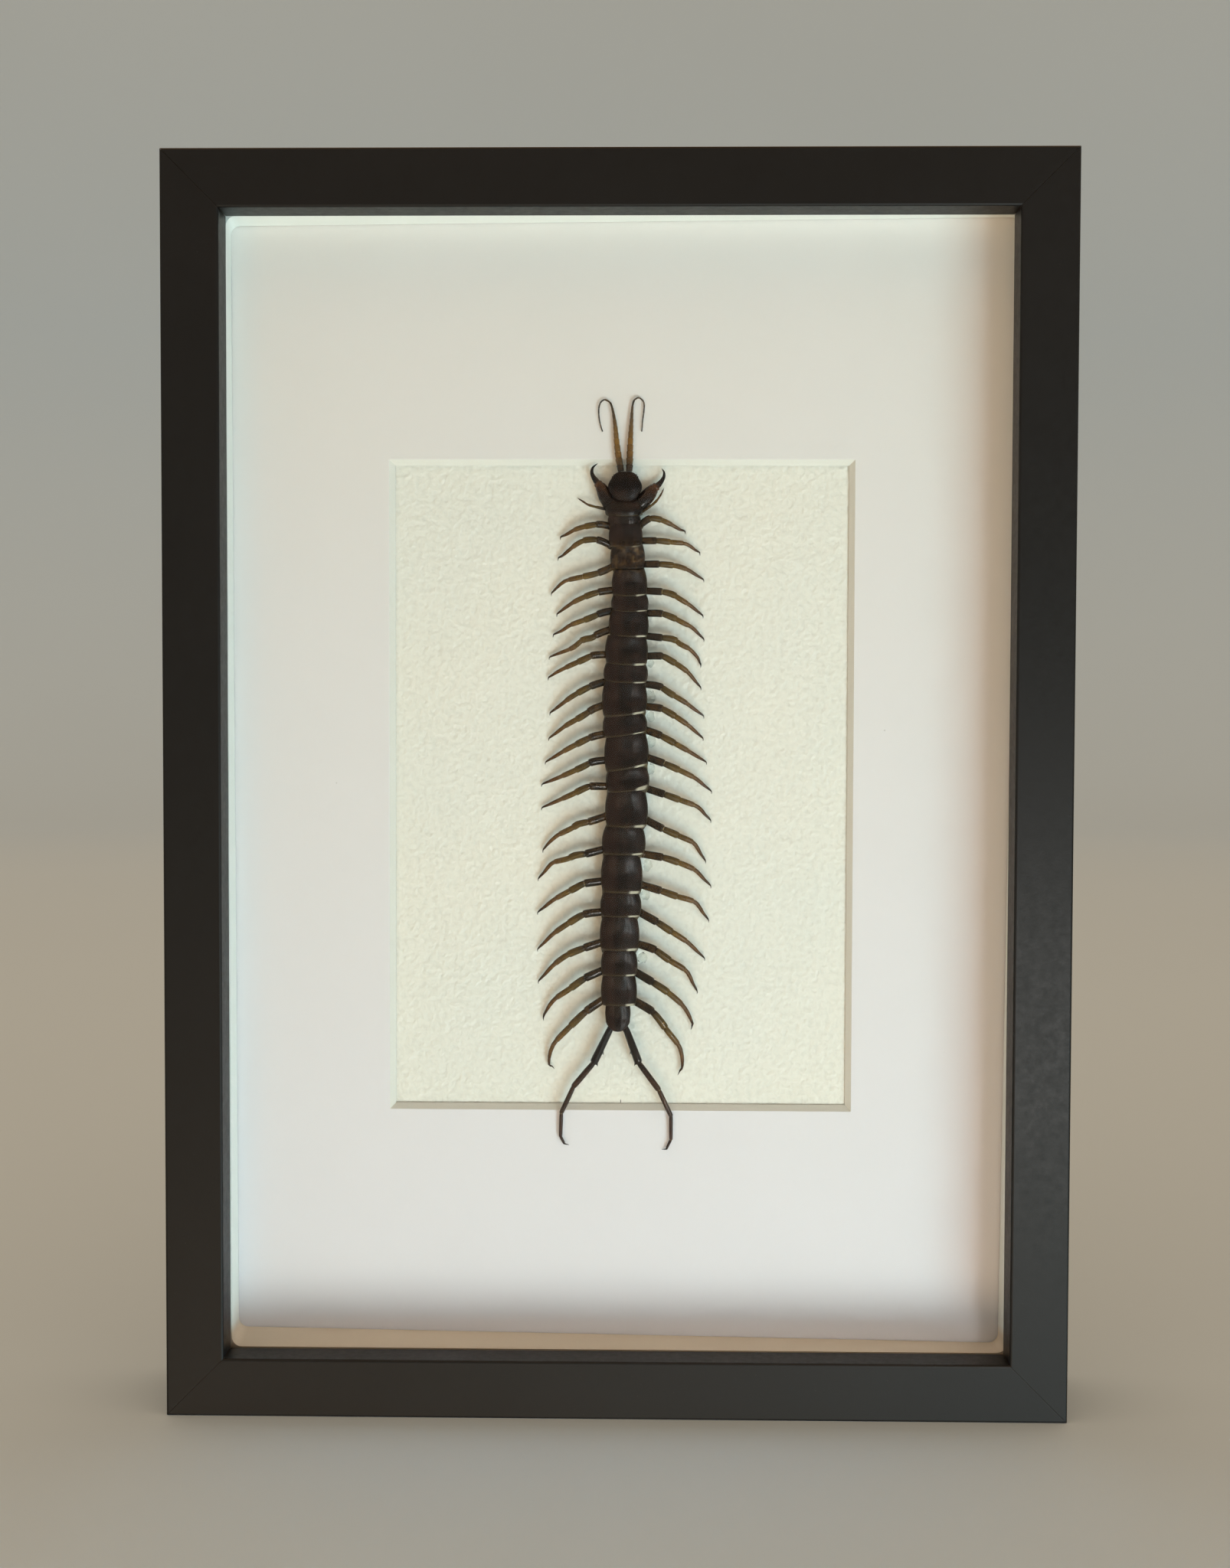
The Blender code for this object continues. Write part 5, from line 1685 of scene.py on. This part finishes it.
class SPECIMEN_OT_stage(bpy.types.Operator):
    """A pale seamless floor, soft studio light and the photograph's camera"""

    bl_idname = "specimen.stage"
    bl_label = "Stage"

    def floor(self, settings):
        """A wide pale bowl: a flat floor that curves up into a far wall."""
        material, tree, place = textured_material("pale_floor", Roughness=0.9, Specular_IOR_Level=0.0)
        clouds = grain(tree, place, 0.4, 2)
        colour = settings.floor_colour
        join_shader(material, Base_Color=blend_colours(tree, clouds, colour, scaled(colour, 1.04)))
        flat, curve, wall = 2.6, 1.0, 2.2
        points = [(0.0, 0.0), (flat / 3, 0.0), (flat, 0.0)]
        steps = 12
        for step in range(1, steps + 1):
            turn = step / steps * math.pi / 2
            points.append((flat + curve * math.sin(turn), curve * (1 - math.cos(turn))))
        points.append((flat + curve, wall))
        shape = bmesh.new()
        verts = [shape.verts.new((reach, 0, height)) for reach, height in points]
        edges = [shape.edges.new(pair) for pair in zip(verts, verts[1:])]
        bmesh.ops.spin(
            shape,
            geom=verts + edges,
            axis=(0, 0, 1),
            cent=(0, 0, 0),
            angle=2 * math.pi,
            steps=64,
            use_merge=True,
        )
        bmesh.ops.remove_doubles(shape, verts=shape.verts, dist=0.1 * MM)
        bmesh.ops.recalc_face_normals(shape, faces=shape.faces)
        bmesh.ops.reverse_faces(shape, faces=shape.faces)
        mesh = bpy.data.meshes.new("studio_floor")
        shape.to_mesh(mesh)
        shape.free()
        mesh.materials.append(material)
        mesh.shade_smooth()
        floor = bpy.data.objects.new("studio_floor", mesh)
        bpy.context.scene.collection.objects.link(floor)
        floor.visible_shadow = False

    def lamp(self, name, place, target, size, power, colour):
        light = bpy.data.lights.new(name, "AREA")
        light.shape = "RECTANGLE"
        light.size, light.size_y = size
        light.energy = power
        light.color = colour
        lamp = bpy.data.objects.new(name, light)
        bpy.context.scene.collection.objects.link(lamp)
        lamp.location = place
        lamp.rotation_euler = (target - place).to_track_quat("-Z", "Y").to_euler()
        # A lamp below the floor's level isn't seen through the pane
        lamp.visible_transmission = place.z > 0
        return lamp

    def camera(self):
        data = bpy.data.cameras.new("camera")
        data.sensor_fit = "HORIZONTAL"
        data.sensor_width = SENSOR_WIDTH
        data.lens = SENSOR_WIDTH * FOCAL_PX / (2 * IMAGE_CENTRE_PX.x)
        data.clip_start = 0.01
        camera = bpy.data.objects.new("camera", data)
        bpy.context.scene.collection.objects.link(camera)
        camera.location = CAMERA_PLACE
        camera.rotation_euler = CAMERA_TURN
        bpy.context.scene.camera = camera

    def execute(self, context):
        settings = context.scene.specimen_studio
        self.floor(settings)
        centre = Vector((0, 0, MIDDLE_Z))
        for name, way, distance, size in LAMPS:
            place = centre + Vector(way).normalized() * distance
            power = getattr(settings, f"{name}_power")
            colour = getattr(settings, f"{name}_colour")
            lamp = self.lamp(name, place, centre, size, power, colour)
            # The glint lamp lights only what is glossy
            lamp.visible_diffuse = name != "glint"
        world = bpy.data.worlds.new("studio")
        world.use_nodes = True
        background = world.node_tree.nodes["Background"]
        background.inputs["Color"].default_value = (*settings.ambient_colour, 1)
        background.inputs["Strength"].default_value = settings.ambient_strength
        context.scene.world = world
        self.camera()
        context.scene.view_settings.view_transform = "Standard"
        context.scene.view_settings.look = "None"
        return {"FINISHED"}


class SPECIMEN_PT_panel(bpy.types.Panel):
    """Lists the settings and steps of each group"""

    bl_label = "Framed centipede"
    bl_idname = "SPECIMEN_PT_panel"
    bl_space_type = "VIEW_3D"
    bl_region_type = "UI"
    bl_category = "Specimen"

    def draw(self, context):
        for group, steps in PANEL_GROUPS:
            box = self.layout.box()
            settings = getattr(context.scene, group)
            for name in settings.bl_rna.properties.keys():
                if name not in ("rna_type", "name"):
                    box.prop(settings, name)
            for step in steps:
                box.operator(step.bl_idname)


PANEL_GROUPS = (
    ("specimen_frame", (SPECIMEN_OT_rails, SPECIMEN_OT_pane, SPECIMEN_OT_back)),
    ("specimen_sheets", (SPECIMEN_OT_spacer, SPECIMEN_OT_mat, SPECIMEN_OT_paper)),
    ("specimen_animal", (SPECIMEN_OT_trunk, SPECIMEN_OT_head, SPECIMEN_OT_legs, SPECIMEN_OT_glue)),
    ("specimen_studio", (SPECIMEN_OT_stage,)),
)

GROUPS = {
    "specimen_frame": SPECIMEN_PG_frame,
    "specimen_sheets": SPECIMEN_PG_sheets,
    "specimen_animal": SPECIMEN_PG_animal,
    "specimen_studio": SPECIMEN_PG_studio,
}
OPERATORS = (
    SPECIMEN_OT_rails,
    SPECIMEN_OT_pane,
    SPECIMEN_OT_spacer,
    SPECIMEN_OT_mat,
    SPECIMEN_OT_paper,
    SPECIMEN_OT_back,
    SPECIMEN_OT_trunk,
    SPECIMEN_OT_head,
    SPECIMEN_OT_legs,
    SPECIMEN_OT_glue,
    SPECIMEN_OT_stage,
)


def register():
    for cls in (*GROUPS.values(), *OPERATORS, SPECIMEN_PT_panel):
        bpy.utils.register_class(cls)
    for name, group in GROUPS.items():
        setattr(bpy.types.Scene, name, PointerProperty(type=group))


def unregister():
    for name in GROUPS:
        delattr(bpy.types.Scene, name)
    for cls in reversed((*GROUPS.values(), *OPERATORS, SPECIMEN_PT_panel)):
        bpy.utils.unregister_class(cls)


def main():
    register()
    for operator in OPERATORS:
        group, step = operator.bl_idname.split(".")
        getattr(getattr(bpy.ops, group), step)()


if __name__ == "__main__":
    main()
